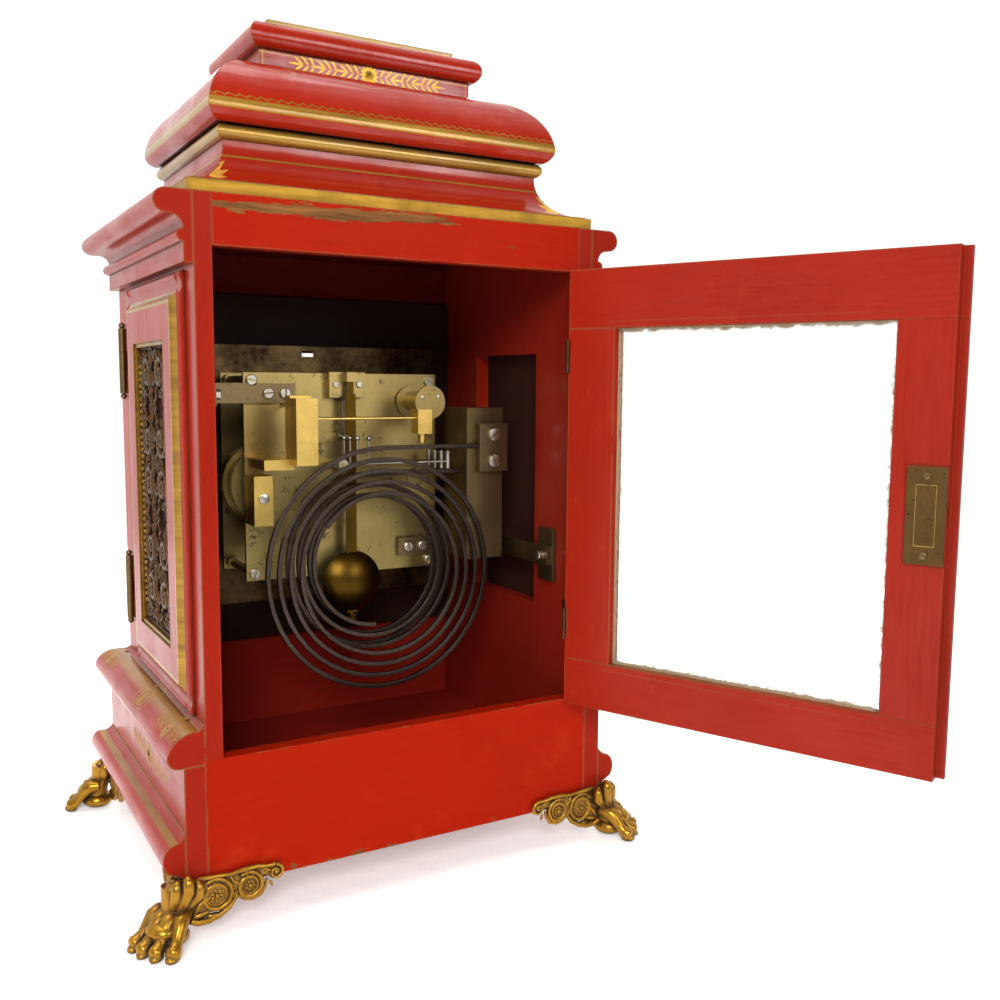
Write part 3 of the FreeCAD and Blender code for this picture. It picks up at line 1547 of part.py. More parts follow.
def pendulum():
    """Spring, flat rod, lens-shaped bob and rating nut."""
    middle = "pendulum_y"
    spring = box(("-3", "3"), (f"{middle} - 0.15", f"{middle} + 0.15"), ("swing_z - 6", "swing_z + 9"))
    flat = box(
        ("-rod_wide / 2", "rod_wide / 2"), (f"{middle} - rod_thick / 2", f"{middle} + rod_thick / 2"),
        ("bob_z - bob_radius - 1", "swing_z - 5"),
    )
    thread = rod("z", "pivot", "bob_z - bob_radius - 10", "bob_z - bob_radius - 1", "0", middle)
    curve = "((bob_radius * bob_radius + bob_thick * bob_thick / 4) / bob_thick)"
    lens = common(
        ball(curve, "0", f"{middle} + bob_thick / 2 - {curve}", "bob_z"),
        ball(curve, "0", f"{middle} - bob_thick / 2 + {curve}", "bob_z"),
    )
    slit = box(
        ("-rod_wide / 2", "rod_wide / 2"), (f"{middle} - rod_thick / 2", f"{middle} + rod_thick / 2"),
        ("bob_z - bob_radius - 1", "bob_z + bob_radius + 1"),
    )
    nut = rod("z", "nut_radius", "bob_z - bob_radius - 6", "bob_z - bob_radius - 2", "0", middle)
    hole = rod("z", "pivot", "bob_z - bob_radius - 9", "bob_z - bob_radius - 1", "0", middle)
    node("pendulum", fuse(spring, flat, thread), cut(lens, slit), cut(nut, hole))


def pallets(at, radii):
    """Anchor over the escape wheel, its arbor, and the crutch that steers the pendulum."""
    high = size("swing_z")
    y = size("escape_wheel_y")
    wide = 17.5
    outline = [
        (-wide - 3, high - 20), (-wide, high - 17.8), (0, high - 4), (wide, high - 17.8),
        (wide + 3, high - 20), (4, high + 4), (-4, high + 4),
    ]
    corners = [Vector(x, y, z) for x, z in outline]
    wires = [Part.makePolygon(corners + corners[:1]), ring_wire(radii["pallets"], at["pallets"], y)]
    anchor = form(Part.Face(wires, "Part::FaceMakerBullseye").extrude(Vector(0, size("train_thick"), 0)))
    arbor_piece = rod("y", "pivot", "front_plate_y", "cock_front + cock_thick", "0", "swing_z")
    arm_y = ("back_plate_y + 1.7", "back_plate_y + 3.2")
    arm = box(("-crutch_wide / 2", "crutch_wide / 2"), arm_y, ("crutch_low", "swing_z + 4"))
    bore = rod("y", "pivot", "back_plate_y", "cock_front", "0", "swing_z")
    pin_x = "(rod_wide / 2 + fork_fit + fork_pin)"
    bar = box((f"-{pin_x} - 1", f"{pin_x} + 1"), arm_y, ("crutch_low", "crutch_low + 6"))
    pins = [
        rod("y", "fork_pin", "back_plate_y + 1.7", "pendulum_y + 3", f"{sign}{pin_x}", "crutch_low + 3")
        for sign in ("", "-")
    ]
    node("pallets_and_crutch", anchor, arbor_piece, cut(fuse(arm, bar, *pins), bore))


def back_cock():
    """Bridge behind the plate that holds the pallet pivot and the suspension."""
    deep = ("cock_front", "cock_front + cock_thick")
    bridge = box(("-cock_half", "cock_half"), deep, ("cock_low", "cock_high"))
    feet_x = (("-cock_half", "-cock_half + 4"), ("cock_half - 4", "cock_half"))
    legs = [box(x, ("back_plate_y", "cock_front"), ("cock_low", "cock_high")) for x in feet_x]
    bore = rod("y", "pivot + pivot_fit", "back_plate_y", "pendulum_y", "0", "swing_z")
    stud = box(("-4", "4"), ("cock_front + cock_thick", "pendulum_y + 3"), ("swing_z + 5", "cock_high"))
    slit = box(("-5", "5"), ("pendulum_y - 0.2", "pendulum_y + 0.2"), ("swing_z + 4", "cock_high - 2"))
    node("back_cock", cut(fuse(bridge, stud, *legs), bore, slit))


def hammer_block():
    """Outline sizes that the hour hammer and its cock share."""
    return ("hammer_x - hammer_block / 2", "hammer_x + hammer_block / 2")


def cocks():
    """The steel cock of the hour hammer, the small strike cock and the quarter hammers' shaft."""
    back = "back_plate_y"
    across = hammer_block()
    post_y = ("hammer_front - 12.5", "hammer_front - joint_gap")
    post = box(across, post_y, ("hammer_low", "hammer_high"))
    shelf = box(
        (f"{across[1]} - 3", "plate_half - 2"), (back, post_y[1]), ("hammer_low - 4", "hammer_low + 4"))
    bore = rod("y", "pivot + pivot_fit", back, "hammer_front", "hammer_x", "hammer_z")
    small = box(
        ("plate_half - 15.5", "plate_half"), (back, f"{back} + 24"), ("hammer_low - 50", "hammer_low - 10"))
    quarter_shaft = rod(
        "y", "pivot", back, "quarter_first + 3.6 * quarter_step", "quarter_x", "quarter_z")
    node("hammer_cocks", cut(fuse(post, shelf), bore), small, quarter_shaft)


def hour_hammer():
    """Arbor, brass block, wire stem and head that strikes the hour gong."""
    across = hammer_block()
    deep = ("hammer_front", "hammer_back")
    block = box(across, deep, ("hammer_low", "hammer_high - 2"))
    arbor_piece = rod(
        "y", "pivot", "back_plate_y - back_plate_thick", "hammer_front", "hammer_x", "hammer_z")
    middle = "((hammer_front + hammer_back) / 2)"
    stem = rod("x", "stem_radius", "head_x", across[0], middle, "stem_z")
    wide = ("head_x - head_wide / 2", "head_x + head_wide / 2")
    head = box(wide, (f"{middle} - head_deep / 2", f"{middle} + head_deep / 2"), ("head_low", "head_high"))
    tip = rod("z", "tip_radius", "tip_low", "head_low", "head_x", middle)
    node("hour_hammer", fuse(block, arbor_piece, stem, head, tip))


def quarter_hammers():
    """Four hammers side by side on one shaft, each with its ball-topped pin."""
    pin_places = (8, 5, 1, -7)
    for index, pin_place in enumerate(pin_places):
        y = f"(quarter_first + {index} * quarter_step)"
        x = "quarter_x"
        head_x = f"(quarter_head_x - {index} * quarter_head_step)"
        collar = rod(
            "y", "quarter_collar", f"{y} - quarter_head", f"{y} + quarter_head", x, "quarter_z")
        stem = rod("x", "quarter_wire", head_x, f"{x} - quarter_collar + 1", y, "quarter_z")
        pin = rod("z", "quarter_wire", "quarter_z", "ball_pin_top", str(pin_place), y)
        knob = ball("ball_radius", str(pin_place), y, "ball_pin_top")
        head = rod("z", "quarter_head", "quarter_head_low", "quarter_head_high", head_x, y)
        bore = rod("y", "pivot + pivot_fit", f"{y} - 4", f"{y} + 4", x, "quarter_z")
        node(f"quarter_hammer_{index + 1}", cut(fuse(collar, stem, pin, knob, head), bore))


# ---------------------------------------------------------------- build and write

def build():
    carcass()
    plinth()
    stepped_top()
    side_frames()
    feet()
    back_hinges()
    back_door()
    front_door()
    keep({"going_drop": mesh_distance(size("great_module"), size("wheel_teeth"), size("pinion_teeth"))})
    doc.recompute()
    dial()
    at = arbor_places()
    radii = arbor_radii()
    plates(at, radii)
    brackets()
    gongs()
    trains(at, radii)
    pendulum()
    pallets(at, radii)
    back_cock()
    cocks()
    hour_hammer()
    quarter_hammers()


def write():
    """Check every object and sub-part, then write the files."""
    doc.recompute()
    for item in doc.Objects:
        faults = [state for state in item.State if state in ("Invalid", "Error")]
        if faults:
            raise RuntimeError(f"{item.Label} ({item.TypeId}) is {faults}")
    for piece in PARTS:
        if piece.Shape.isNull() or not piece.Shape.isValid():
            raise RuntimeError(f"{piece.Label} has no valid shape")
    os.makedirs("parts", exist_ok=True)
    for piece in PARTS:
        piece.Shape.exportStep(os.path.join("parts", f"{piece.Label}.step"))
    print(len(PARTS), "sub-parts,", sum(len(piece.Shape.Solids) for piece in PARTS), "solids")


build()
write()
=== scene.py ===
"""Bracket clock seen from behind with its back door open.

The frame is the clock's own: metres, with the dial towards -Y. Shapes are written in millimetres
and carried over by MM; finishes read Object coordinates, in metres.
"""

import math
from functools import partialmethod

import bmesh
import bpy
from mathutils import Matrix, Vector
from mathutils.bvhtree import BVHTree


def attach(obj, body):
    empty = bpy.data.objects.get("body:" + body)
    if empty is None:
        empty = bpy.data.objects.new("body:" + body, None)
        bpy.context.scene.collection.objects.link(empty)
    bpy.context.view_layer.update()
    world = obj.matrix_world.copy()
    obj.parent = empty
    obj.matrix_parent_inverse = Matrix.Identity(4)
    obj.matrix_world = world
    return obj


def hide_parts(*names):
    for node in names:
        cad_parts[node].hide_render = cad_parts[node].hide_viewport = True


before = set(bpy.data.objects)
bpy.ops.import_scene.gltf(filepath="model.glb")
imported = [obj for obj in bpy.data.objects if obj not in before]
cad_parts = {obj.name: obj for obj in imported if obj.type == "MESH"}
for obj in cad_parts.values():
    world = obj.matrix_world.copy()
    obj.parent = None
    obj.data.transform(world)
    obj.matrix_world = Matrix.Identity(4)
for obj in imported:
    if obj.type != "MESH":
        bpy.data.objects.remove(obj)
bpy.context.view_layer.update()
MM = 0.001
X, Z = Vector((1, 0, 0)), Vector((0, 0, 1))
BACK_PINS = Vector((-145, 128.1, 0))
FRET_X, FRET_Y, FRET_Z, STOREY = 156.6, 11.4, 300.5, 41.5  # the frets' ground, middle and repeat
BACK_DOOR_OPEN = math.radians(113.7)
FACE_Y = 0.88  # a surface whose normal has more Y than this looks straight back


# ---- camera and studio

def put(name, data):
    made = bpy.data.objects.new(name, data)
    bpy.context.scene.collection.objects.link(made)
    return made


def set_camera():
    """Stand where the photographer stood; the angles, in radians, come from fitting the photo."""
    yaw, pitch, roll = -0.5323, -0.1099, 0.0074
    stand = Vector((331.8, 814.2, 380.8))
    ahead = Vector((
        math.sin(yaw) * math.cos(pitch), -math.cos(yaw) * math.cos(pitch), math.sin(pitch)))
    right = ahead.cross(Z).normalized()
    up = right.cross(ahead)
    turned_right = math.cos(roll) * right + math.sin(roll) * up
    turned_up = math.cos(roll) * up - math.sin(roll) * right
    place = Matrix((turned_right, turned_up, -ahead)).transposed().to_4x4()
    place.translation = stand * MM
    lens = bpy.data.cameras.new("camera")
    lens.sensor_width = 36
    lens.lens = 37.3
    lens.clip_start = 0.02
    camera = put("camera", lens)
    camera.matrix_world = place
    bpy.context.scene.camera = camera


ROOM_AHEAD, ROOM_BEHIND, ROOM_SEEN = 1.12, 0.16, 1.08  # how strongly the white room shines
LAMPS = [
    # name, place, target, width in metres, watts
    ("key", (1.15, 2.35, 1.55), (0.0, 0.0, 0.30), 1.1, 66),
    ("over_top", (0.3, -0.2, 2.6), (0.0, 0.0, 0.0), 1.8, 26),
    ("dial_fill", (-0.8, -2.2, 1.3), (0.0, 0.0, 0.3), 1.2, 18),
    ("window", (-0.75, 1.9, 0.95), (0.0, 0.1, 0.5), 0.8, 15),
]
ONLY_IN_GLOSS = "window"


def set_studio():
    """A room that is white ahead of the camera and dim behind it, with soft lamps."""
    world = bpy.data.worlds.new("studio")
    bpy.context.scene.world = world
    world.use_nodes = True
    tree = world.node_tree
    sky = tree.nodes["Background"]
    sky.inputs["Color"].default_value = (1.0, 0.99, 0.975, 1)
    towards = tree.nodes.new("ShaderNodeSeparateXYZ")
    tree.links.new(tree.nodes.new("ShaderNodeTexCoord").outputs["Generated"], towards.inputs[0])
    fall = tree.nodes.new("ShaderNodeMapRange")
    fall.interpolation_type = "SMOOTHSTEP"
    ends = {"From Min": 0.05, "From Max": 0.62, "To Min": ROOM_AHEAD, "To Max": ROOM_BEHIND}
    for name, value in ends.items():
        fall.inputs[name].default_value = value
    tree.links.new(towards.outputs["Y"], fall.inputs["Value"])
    shown = tree.nodes.new("ShaderNodeMix")
    shown.inputs[3].default_value = ROOM_SEEN
    tree.links.new(tree.nodes.new("ShaderNodeLightPath").outputs["Is Camera Ray"], shown.inputs[0])
    tree.links.new(fall.outputs[0], shown.inputs[2])
    tree.links.new(shown.outputs[0], sky.inputs["Strength"])
    for name, where, target, width, power in LAMPS:
        data = bpy.data.lights.new(name, "AREA")
        data.size = width
        data.energy = power
        lamp = put(name, data)
        lamp.location = where
        lamp.visible_diffuse = name != ONLY_IN_GLOSS
        lamp.rotation_euler = (Vector(target) - Vector(where)).to_track_quat("-Z", "Y").to_euler()


set_camera()
set_studio()


# ---- finishes

class Value:
    """A number that changes over a surface; arithmetic on it adds Math nodes."""

    def __init__(self, finish, socket):
        self.finish = finish
        self.socket = socket

    def op(self, operation, *others):
        made = self.finish.node("ShaderNodeMath", {"operation": operation}, [self, *others])
        return Value(self.finish, made.outputs[0])

    __add__ = __radd__ = partialmethod(op, "ADD")
    __sub__ = partialmethod(op, "SUBTRACT")
    __mul__ = __rmul__ = partialmethod(op, "MULTIPLY")
    __truediv__ = partialmethod(op, "DIVIDE")
    abs = partialmethod(op, "ABSOLUTE")
    most = partialmethod(op, "MAXIMUM")
    least = partialmethod(op, "MINIMUM")

    def __rsub__(self, other):
        return (self * -1) + other

    def clamp(self):
        return self.most(0).least(1)

    def wave(self, per_metre):
        return (self * per_metre).op("SINE")

    def above(self, level, soft):
        """0 under the level and 1 over it, with a soft edge."""
        return ((self - level) / soft + 0.5).clamp()

    def band(self, low, high, soft):
        return self.above(low, soft) * (1 - self.above(high, soft))


class Finish:
    """One material, built from Object coordinates."""

    def __init__(self, name):
        self.material = bpy.data.materials.new(name)
        self.material.use_nodes = True
        self.tree = self.material.node_tree
        self.tree.nodes.clear()
        self.skin = self.node("ShaderNodeBsdfPrincipled")
        self.output = self.node("ShaderNodeOutputMaterial", {}, [self.skin.outputs[0]])
        self.place = self.node("ShaderNodeTexCoord").outputs["Object"]

    def node(self, kind, settings=None, sockets=None):
        """Add a node: its settings first, then the values or links of its sockets."""
        made = self.tree.nodes.new(kind)
        for name, value in (settings or {}).items():
            setattr(made, name, value)
        pairs = sockets.items() if isinstance(sockets, dict) else enumerate(sockets or [])
        for key, value in pairs:
            self.feed(made.inputs[key], value)
        return made

    def feed(self, socket, value):
        """Give a socket a link, a colour or a number."""
        if isinstance(value, Value):
            value = value.socket
        if isinstance(value, bpy.types.NodeSocket):
            self.tree.links.new(value, socket)
        elif isinstance(value, tuple) and len(value) == 3 and len(socket.default_value) == 4:
            socket.default_value = (*value, 1)
        else:
            socket.default_value = value

    def mapped(self, scale=(1, 1, 1), turn=(0, 0, 0), move=(0, 0, 0), place=None):
        made = self.node("ShaderNodeMapping", {}, {
            "Vector": place or self.place, "Scale": scale, "Rotation": turn, "Location": move})
        return made.outputs[0]

    def noise(self, scale, detail=3, rough=0.5, place=None, distortion=0.0):
        made = self.node("ShaderNodeTexNoise", {}, {
            "Vector": place or self.place, "Scale": scale, "Detail": detail, "Roughness": rough,
            "Distortion": distortion})
        return Value(self, made.outputs[0])

    def cells(self, scale, place=None):
        made = self.node("ShaderNodeTexVoronoi", {}, {"Vector": place or self.place, "Scale": scale})
        return Value(self, made.outputs["Distance"])

    def axis(self, letter, place=None):
        made = self.node("ShaderNodeSeparateXYZ", {}, [place or self.place])
        return Value(self, made.outputs["XYZ".index(letter)])

    def facing(self, letter):
        """The surface's outward direction along one axis of the clock."""
        return self.axis(letter, self.node("ShaderNodeNewGeometry").outputs["Normal"])

    def softened(self, radius):
        """The normal with its sharp edges rounded over a radius."""
        return self.node("ShaderNodeBevel", {"samples": 4}, {"Radius": radius * MM}).outputs[0]

    def edges(self, radius, gain):
        """1 on sharp edges and 0 on flats."""
        hard = self.node("ShaderNodeNewGeometry").outputs["Normal"]
        pair = [self.softened(radius), hard]
        dot = self.node("ShaderNodeVectorMath", {"operation": "DOT_PRODUCT"}, pair)
        return ((1 - Value(self, dot.outputs["Value"])) * gain).clamp()

    def hollows(self, reach):
        """1 deep in a hollow and 0 in the open, from ambient occlusion: a colour darkened by it is painted
        shade.
        """
        made = self.node("ShaderNodeAmbientOcclusion", {"samples": 6}, {"Distance": reach * MM})
        return 1 - Value(self, made.outputs["AO"])

    def mix(self, factor, first, second):
        """The first colour at 0 and the second at 1."""
        made = self.node("ShaderNodeMix", {"data_type": "RGBA"}, {0: factor, 6: first, 7: second})
        return made.outputs[2]

    def bump(self, height, depth, normal=None):
        """Relief whose full height is the given depth in millimetres."""
        sockets = {"Height": height, "Distance": depth * MM, "Strength": 1.0}
        if normal is not None:
            sockets["Normal"] = normal
        return self.node("ShaderNodeBump", {}, sockets).outputs[0]

    def set(self, **sockets):
        for name, value in sockets.items():
            self.feed(self.skin.inputs[name.replace("_", " ")], value)
        return self.material


ORANGE_RED = (0.41, 0.013, 0.001)
DEEP_RED = (0.27, 0.008, 0.001)
SIDE_RED = (0.38, 0.018, 0.006)
SIDE_DEEP = (0.20, 0.010, 0.004)
INSIDE_RED = (0.30, 0.017, 0.008)
BARE_WOOD = (0.16, 0.060, 0.016)
DARK_WOOD = (0.045, 0.020, 0.009)
PALE_WOOD = (0.30, 0.15, 0.06)
WARM_WOOD = (0.34, 0.14, 0.04)
# The next two colours darken hollows, on lacquer and on metal: dirt and painted shade.
DIRT_AND_SHADE = (0.030, 0.010, 0.006)
METAL_DIRT_AND_SHADE = (0.055, 0.022, 0.006)
OLIVE_GOLD = (0.20, 0.105, 0.012)
WORN_GOLD = (0.46, 0.26, 0.035)


def streaks(f, grain, place=None):
    """Wood grain that shows through the lacquer: long soft streaks and finer pores."""
    stretch = {"X": (1, 14, 14), "Y": (14, 1, 14), "Z": (14, 14, 1)}[grain]
    along = f.mapped(scale=stretch, place=place)
    return f.noise(22, 5, 0.62, along, 0.5), f.noise(90, 3, 0.7, along)


def darker(colour, share):
    return tuple(part * share for part in colour)


def lacquer(name, grain="X", colour=ORANGE_RED, deep=DEEP_RED, wear=1.0, gloss=0.30, coat=0.15,
            gilt=None, bare=None, inside=None, relief=1.0, place=None, rail_grain=None, dirt_and_shade=0.0,
            back_gloss=0.0):
    """Red lacquer over wood: grain, rubbed edges, chips and hairlines, with gilding, bare wood, and dirt
    with painted shade in the hollows.

    gilt, bare and inside are masks: functions of the finish that give 1 where gold, wood or the
    case's inner red shows. rail_grain is a direction and the mask where the grain runs that way.
    """
    f = Finish(name)
    grained, pores = streaks(f, grain, place and place(f))
    if rail_grain:
        other, other_pores = streaks(f, rail_grain[0], place and place(f))
        share = rail_grain[1](f)
        grained = grained + (other - grained) * share
        pores = pores + (other_pores - pores) * share
    cloud = f.noise(8, 4, 0.6)
    fine = f.noise(260, 3, 0.6)
    tone = (cloud * 0.8 + grained * 0.7 - 0.25).clamp()
    body = f.mix(tone, deep, colour)
    faded = (colour[0] * 1.12, colour[1] * 2.2 + 0.006, colour[2] * 1.5 + 0.002)
    body = f.mix(f.noise(30, 5, 0.7).above(0.64, 0.12) * 0.30, body, faded)
    lines = grained.above(0.62, 0.14) * pores.above(0.50, 0.20) * 0.40
    body = f.mix(lines, body, darker(deep, 0.40))
    rub = f.edges(2.0, 7.0)
    ragged = f.noise(60, 5, 0.7)
    broken = f.noise(380, 4, 0.7)
    patchy = f.noise(28, 5, 0.75) * 3.4 - 0.9
    worn = (rub * patchy * wear - broken * 0.28).above(0.33, 0.12)
    chips = (1 - (f.cells(44) * 0.7 + f.noise(160, 4, 0.75) * 0.7).above(0.27 + 0.035 * wear, 0.03))
    chips = (chips * f.noise(13, 3, 0.6).above(0.62 - 0.05 * wear, 0.04) * (0.6 + wear)).clamp()
    shown = f.mix((worn * 0.9).clamp(), body, f.mix(broken, BARE_WOOD, PALE_WOOD))
    lost = chips.most(bare(f)) if bare else chips
    wood = f.mix((grained * 1.6 - 0.3).clamp(), DARK_WOOD, WARM_WOOD)
    shown = f.mix(lost.clamp(), shown, wood)
    metallic = 0.0
    if inside:
        within = inside(f)
        inner = f.mix(tone, darker(INSIDE_RED, 0.55), INSIDE_RED)
        shown = f.mix(within, shown, inner)
    if gilt:
        mask = gilt(f)
        brushed = f.noise(60, 4, 0.7, f.mapped(scale=(0.16, 0.16, 2.2)))
        gold = f.mix((brushed * 2.4 - 0.75).clamp(), OLIVE_GOLD, WORN_GOLD)
        thin = (mask * (1.2 - f.noise(90, 5, 0.75).above(0.66, 0.08) * 0.9)).clamp()
        shown = f.mix(thin, shown, gold)
        metallic = thin * 0.45
    # Dirt and painted shade: the hollows darkened by ambient occlusion.
    if dirt_and_shade:
        dirt = (f.hollows(7.0) * 1.5 * dirt_and_shade * (0.4 + ragged)).clamp()
        shown = f.mix(dirt, shown, DIRT_AND_SHADE)
    height = grained * 0.45 + pores * 0.40 + fine * 0.06 - lost * 1.1 - worn * 0.35
    rough = (gloss + fine * 0.08 + cloud * 0.08 + worn * 0.3 + lost * 0.4).clamp()
    smears = f.noise(16, 5, 0.7, f.mapped(scale=(1, 1, 0.22)))
    rubbed = (smears * 2.2 - 0.55 + (grained - 0.5) * 1.6).clamp()
    dull = f.facing("Y").above(FACE_Y, 0.08) * (1 - back_gloss)
    shine = (1 - worn * 0.8 - lost * 0.9).clamp() * (1 - dull)
    shine = shine * (0.30 + rubbed * 0.95) * coat
    return f.set(
        Base_Color=shown, Roughness=rough, Metallic=metallic, Coat_Weight=shine, Coat_Roughness=0.16,
        Specular_IOR_Level=0.035, Normal=f.bump(height, 0.18 * relief, f.softened(0.7)))


def metal(name, light, dark, rough, spots, tarnish, grime_and_shade):
    """Plain metal: clouded tone, fine scratches, tarnish spots, and dirt with painted shade in the hollows.
    """
    f = Finish(name)
    cloud = f.noise(spots, 5, 0.68)
    broad = f.noise(spots * 0.20, 3, 0.6)
    scratch = f.noise(500, 3, 0.7)
    tone = (cloud * 0.8 + broad * 0.8 - 0.30 + (scratch - 0.5) * 0.3).clamp()
    shown = f.mix(tone, dark, light)
    spot = f.noise(spots * 2.6, 5, 0.8).above(0.62, 0.07) * tarnish
    shown = f.mix(spot.clamp(), shown, darker(dark, 0.30))
    dirt_and_shade = spot * 0.4
    # Dirt and painted shade: the hollows darkened by ambient occlusion.
    if grime_and_shade:
        dirt_and_shade = (f.hollows(5.0) * grime_and_shade * (0.6 + cloud) - 0.10).clamp()
        shown = f.mix(dirt_and_shade, shown, METAL_DIRT_AND_SHADE)
    bright = f.edges(0.5, 3.0) * 0.5
    shown = f.mix(bright.clamp(), shown, tuple(min(1, c * 1.35 + 0.03) for c in light))
    return f.set(
        Base_Color=shown, Metallic=(1 - dirt_and_shade * 0.6).clamp(),
        Roughness=(rough + cloud * 0.14 + spot * 0.20 + dirt_and_shade * 0.25 + scratch * 0.06).clamp(),
        Normal=f.bump(scratch * 0.5 + cloud * 0.5, 0.03, f.softened(0.35)))


# ---- tools for pieces

def as_data(name, mesh):
    data = bpy.data.meshes.new(name)
    mesh.to_mesh(data)
    mesh.free()
    return data


def piece(name, mesh, body, metal_name, replaces=(), smooth=34, bevel=0.0):
    """Turn a bmesh into an object that rides on a body; smooth in degrees, bevel in millimetres."""
    bmesh.ops.recalc_face_normals(mesh, faces=mesh.faces)
    data = as_data(name, mesh)
    data.shade_smooth()
    data.set_sharp_from_angle(angle=math.radians(smooth))
    data.materials.append(metals[metal_name])
    made = put(name, data)
    if bevel:
        rounded = made.modifiers.new("rounded", "BEVEL")
        rounded.width = bevel * MM
        rounded.segments = 2
        rounded.limit_method = "ANGLE"
        rounded.harden_normals = True
    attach(made, body)
    if replaces:
        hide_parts(*replaces)


def dress(node, material):
    """Give a CAD node its finish."""
    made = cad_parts[node]
    made.data.materials.clear()
    made.data.materials.append(material)
    for polygon in made.data.polygons:
        polygon.material_index = 0


def join(mesh, part):
    """Add a small bmesh to a larger one."""
    data = as_data("part", part)
    mesh.from_mesh(data)
    bpy.data.meshes.remove(data)


def only(kind, geometry):
    """The verts or the faces among what a bmesh operator made."""
    return [item for item in geometry if isinstance(item, kind)]


def shifted(at):
    """A move to a point in millimetres."""
    return Matrix.Translation(Vector(at) * MM)


def frames_along(points, radii):
    """One matrix per point: it carries a unit circle to a section square to the path."""
    spots = [Vector(p) * MM for p in points]
    count = len(spots)
    ways = []
    for i in range(count):
        way = spots[min(i + 1, count - 1)] - spots[max(i - 1, 0)]
        ways.append(way.normalized())
    across = ways[0].cross(Z if abs(ways[0].z) < 0.9 else X).normalized()
    result = []
    for spot, way, radius in zip(spots, ways, radii):
        across = (across - way * across.dot(way)).normalized()
        place = Matrix((across, way.cross(across), way)).transposed().to_4x4()
        place.translation = spot
        result.append(place @ Matrix.Diagonal((radius * MM, radius * MM, 1, 1)))
    return result


def tube(mesh, points, radii, sides=8, turn=0.0):
    """A closed tube through points in millimetres, as thick as the radii say."""
    if not hasattr(radii, "__len__"):
        radii = [radii] * len(points)
    places = frames_along(points, radii)
    part = bmesh.new()
    bmesh.ops.create_circle(
        part, cap_ends=True, segments=sides, radius=1, matrix=places[0] @ Matrix.Rotation(turn, 4, "Z"))
    edges = part.edges[:]
    for before, after in zip(places, places[1:]):
        made = bmesh.ops.extrude_edge_only(part, edges=edges)["geom"]
        ring = only(bmesh.types.BMVert, made)
        fresh = set(ring)
        edges = [edge for edge in only(bmesh.types.BMEdge, made) if fresh.issuperset(edge.verts)]
        bmesh.ops.transform(part, matrix=after @ before.inverted(), verts=ring)
    bmesh.ops.edgeloop_fill(part, edges=edges)
    join(mesh, part)


def lump(mesh, at, size, way=None, around=10, rings=7):
    """A rounded leaf, bead or pad: an ellipsoid at a point, its first axis along a direction."""
    place = shifted(at)
    if way is not None:
        place = place @ Vector(way).to_track_quat("X", "Z").to_matrix().to_4x4()
    part = bmesh.new()
    bmesh.ops.create_uvsphere(
        part, u_segments=around, v_segments=rings, radius=1,
        matrix=place @ Matrix.Diagonal((*[s * MM for s in size], 1)))
    join(mesh, part)


def polar(centre, radius, angle):
    """A point on a flat circle, as a pair."""
    return centre[0] + radius * math.cos(angle), centre[1] + radius * math.sin(angle)


def aim(spot, angle):
    """The direction that an angle on a flat face has in space."""
    return spot(math.cos(angle), math.sin(angle), 0) - spot(0, 0, 0)


def curl(centre, outer, inner, turns, start, hand=1, steps=14):
    """Points of a flat scroll that winds inwards, as pairs."""
    count = max(3, int(turns * steps))
    result = []
    for i in range(count + 1):
        share = i / count
        angle = start + hand * share * turns * math.tau
        radius = outer + (inner - outer) * share ** 0.8
        result.append(polar(centre, radius, angle))
    return result


surfaces = {}
OUTSIDE, SEARCH = 0.06, 0.12  # metres: how far out a line starts, and its length


def touch(node, at, inwards):
    """Where a line from outside meets a CAD node, or nothing."""
    if node not in surfaces:
        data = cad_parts[node].data
        surfaces[node] = BVHTree.FromPolygons(
            [v.co.copy() for v in data.vertices], [tuple(p.vertices) for p in data.polygons])
    inwards = Vector(inwards)
    return surfaces[node].ray_cast(Vector(at) * MM - inwards * OUTSIDE, inwards, SEARCH)[0]


LEAF_LIFT = 0.10  # gilding stands this far off its face, in millimetres


def gild(mesh, node, middle, inwards, leaves):
    """Lay gilt shapes on a face: each is (along, high, length, width, angle), in millimetres."""
    along_axis = Vector(inwards).cross(Z)
    for x, z, length, width, angle in leaves:
        lost = []
        for vert in bmesh.ops.create_grid(mesh, x_segments=8, y_segments=2, size=0.5)["verts"]:
            share = vert.co.x + 0.5
            a = share * length
            b = vert.co.y * (width * math.sin(math.pi * min(1, share ** 0.8)) + 0.12)
            u = x + a * math.cos(angle) - b * math.sin(angle)
            w = z + a * math.sin(angle) + b * math.cos(angle)
            spot = touch(node, Vector(middle) + along_axis * u + Z * w, inwards)
            if spot is None:
                lost.append(vert)
            else:
                vert.co = spot - Vector(inwards) * LEAF_LIFT * MM
        bmesh.ops.delete(mesh, geom=lost, context="VERTS")


def spray_leaves(reach, size, clusters):
    """A flower with a run of fern leaves out to both sides, as shapes for gild."""
    leaves = [(0, 0, size * 0.72, size * 0.24, i * math.tau / 14) for i in range(14)]
    for side in (0, math.pi):
        for k in range(clusters):
            long = (reach - size * 0.8) / clusters * 1.12
            start = size * 0.8 + (reach - size * 0.8) * k / clusters
            for step, lean in ((0.0, 1.0), (0.22, 0.8), (0.45, 0.62)):
                for hand in (-1, 1):
                    leaves.append((
                        math.cos(side) * (start + long * step), 0, long * (0.56 - 0.3 * step), size * 0.125,
                        side + hand * lean))
            leaves.append((math.cos(side) * (start + long * 0.5), 0, long * 0.55, size * 0.125, side))
    return leaves


def oval_leaves(wide, high, count):
    """An oval band of short leaves, laid end to end."""
    leaves = []
    for k in range(count):
        angle = k * math.tau / count
        x, z = wide * math.cos(angle), high * math.sin(angle)
        leaves.append((x, z, 4.6, 1.3, math.atan2(high * math.cos(angle), -wide * math.sin(angle))))
    return leaves


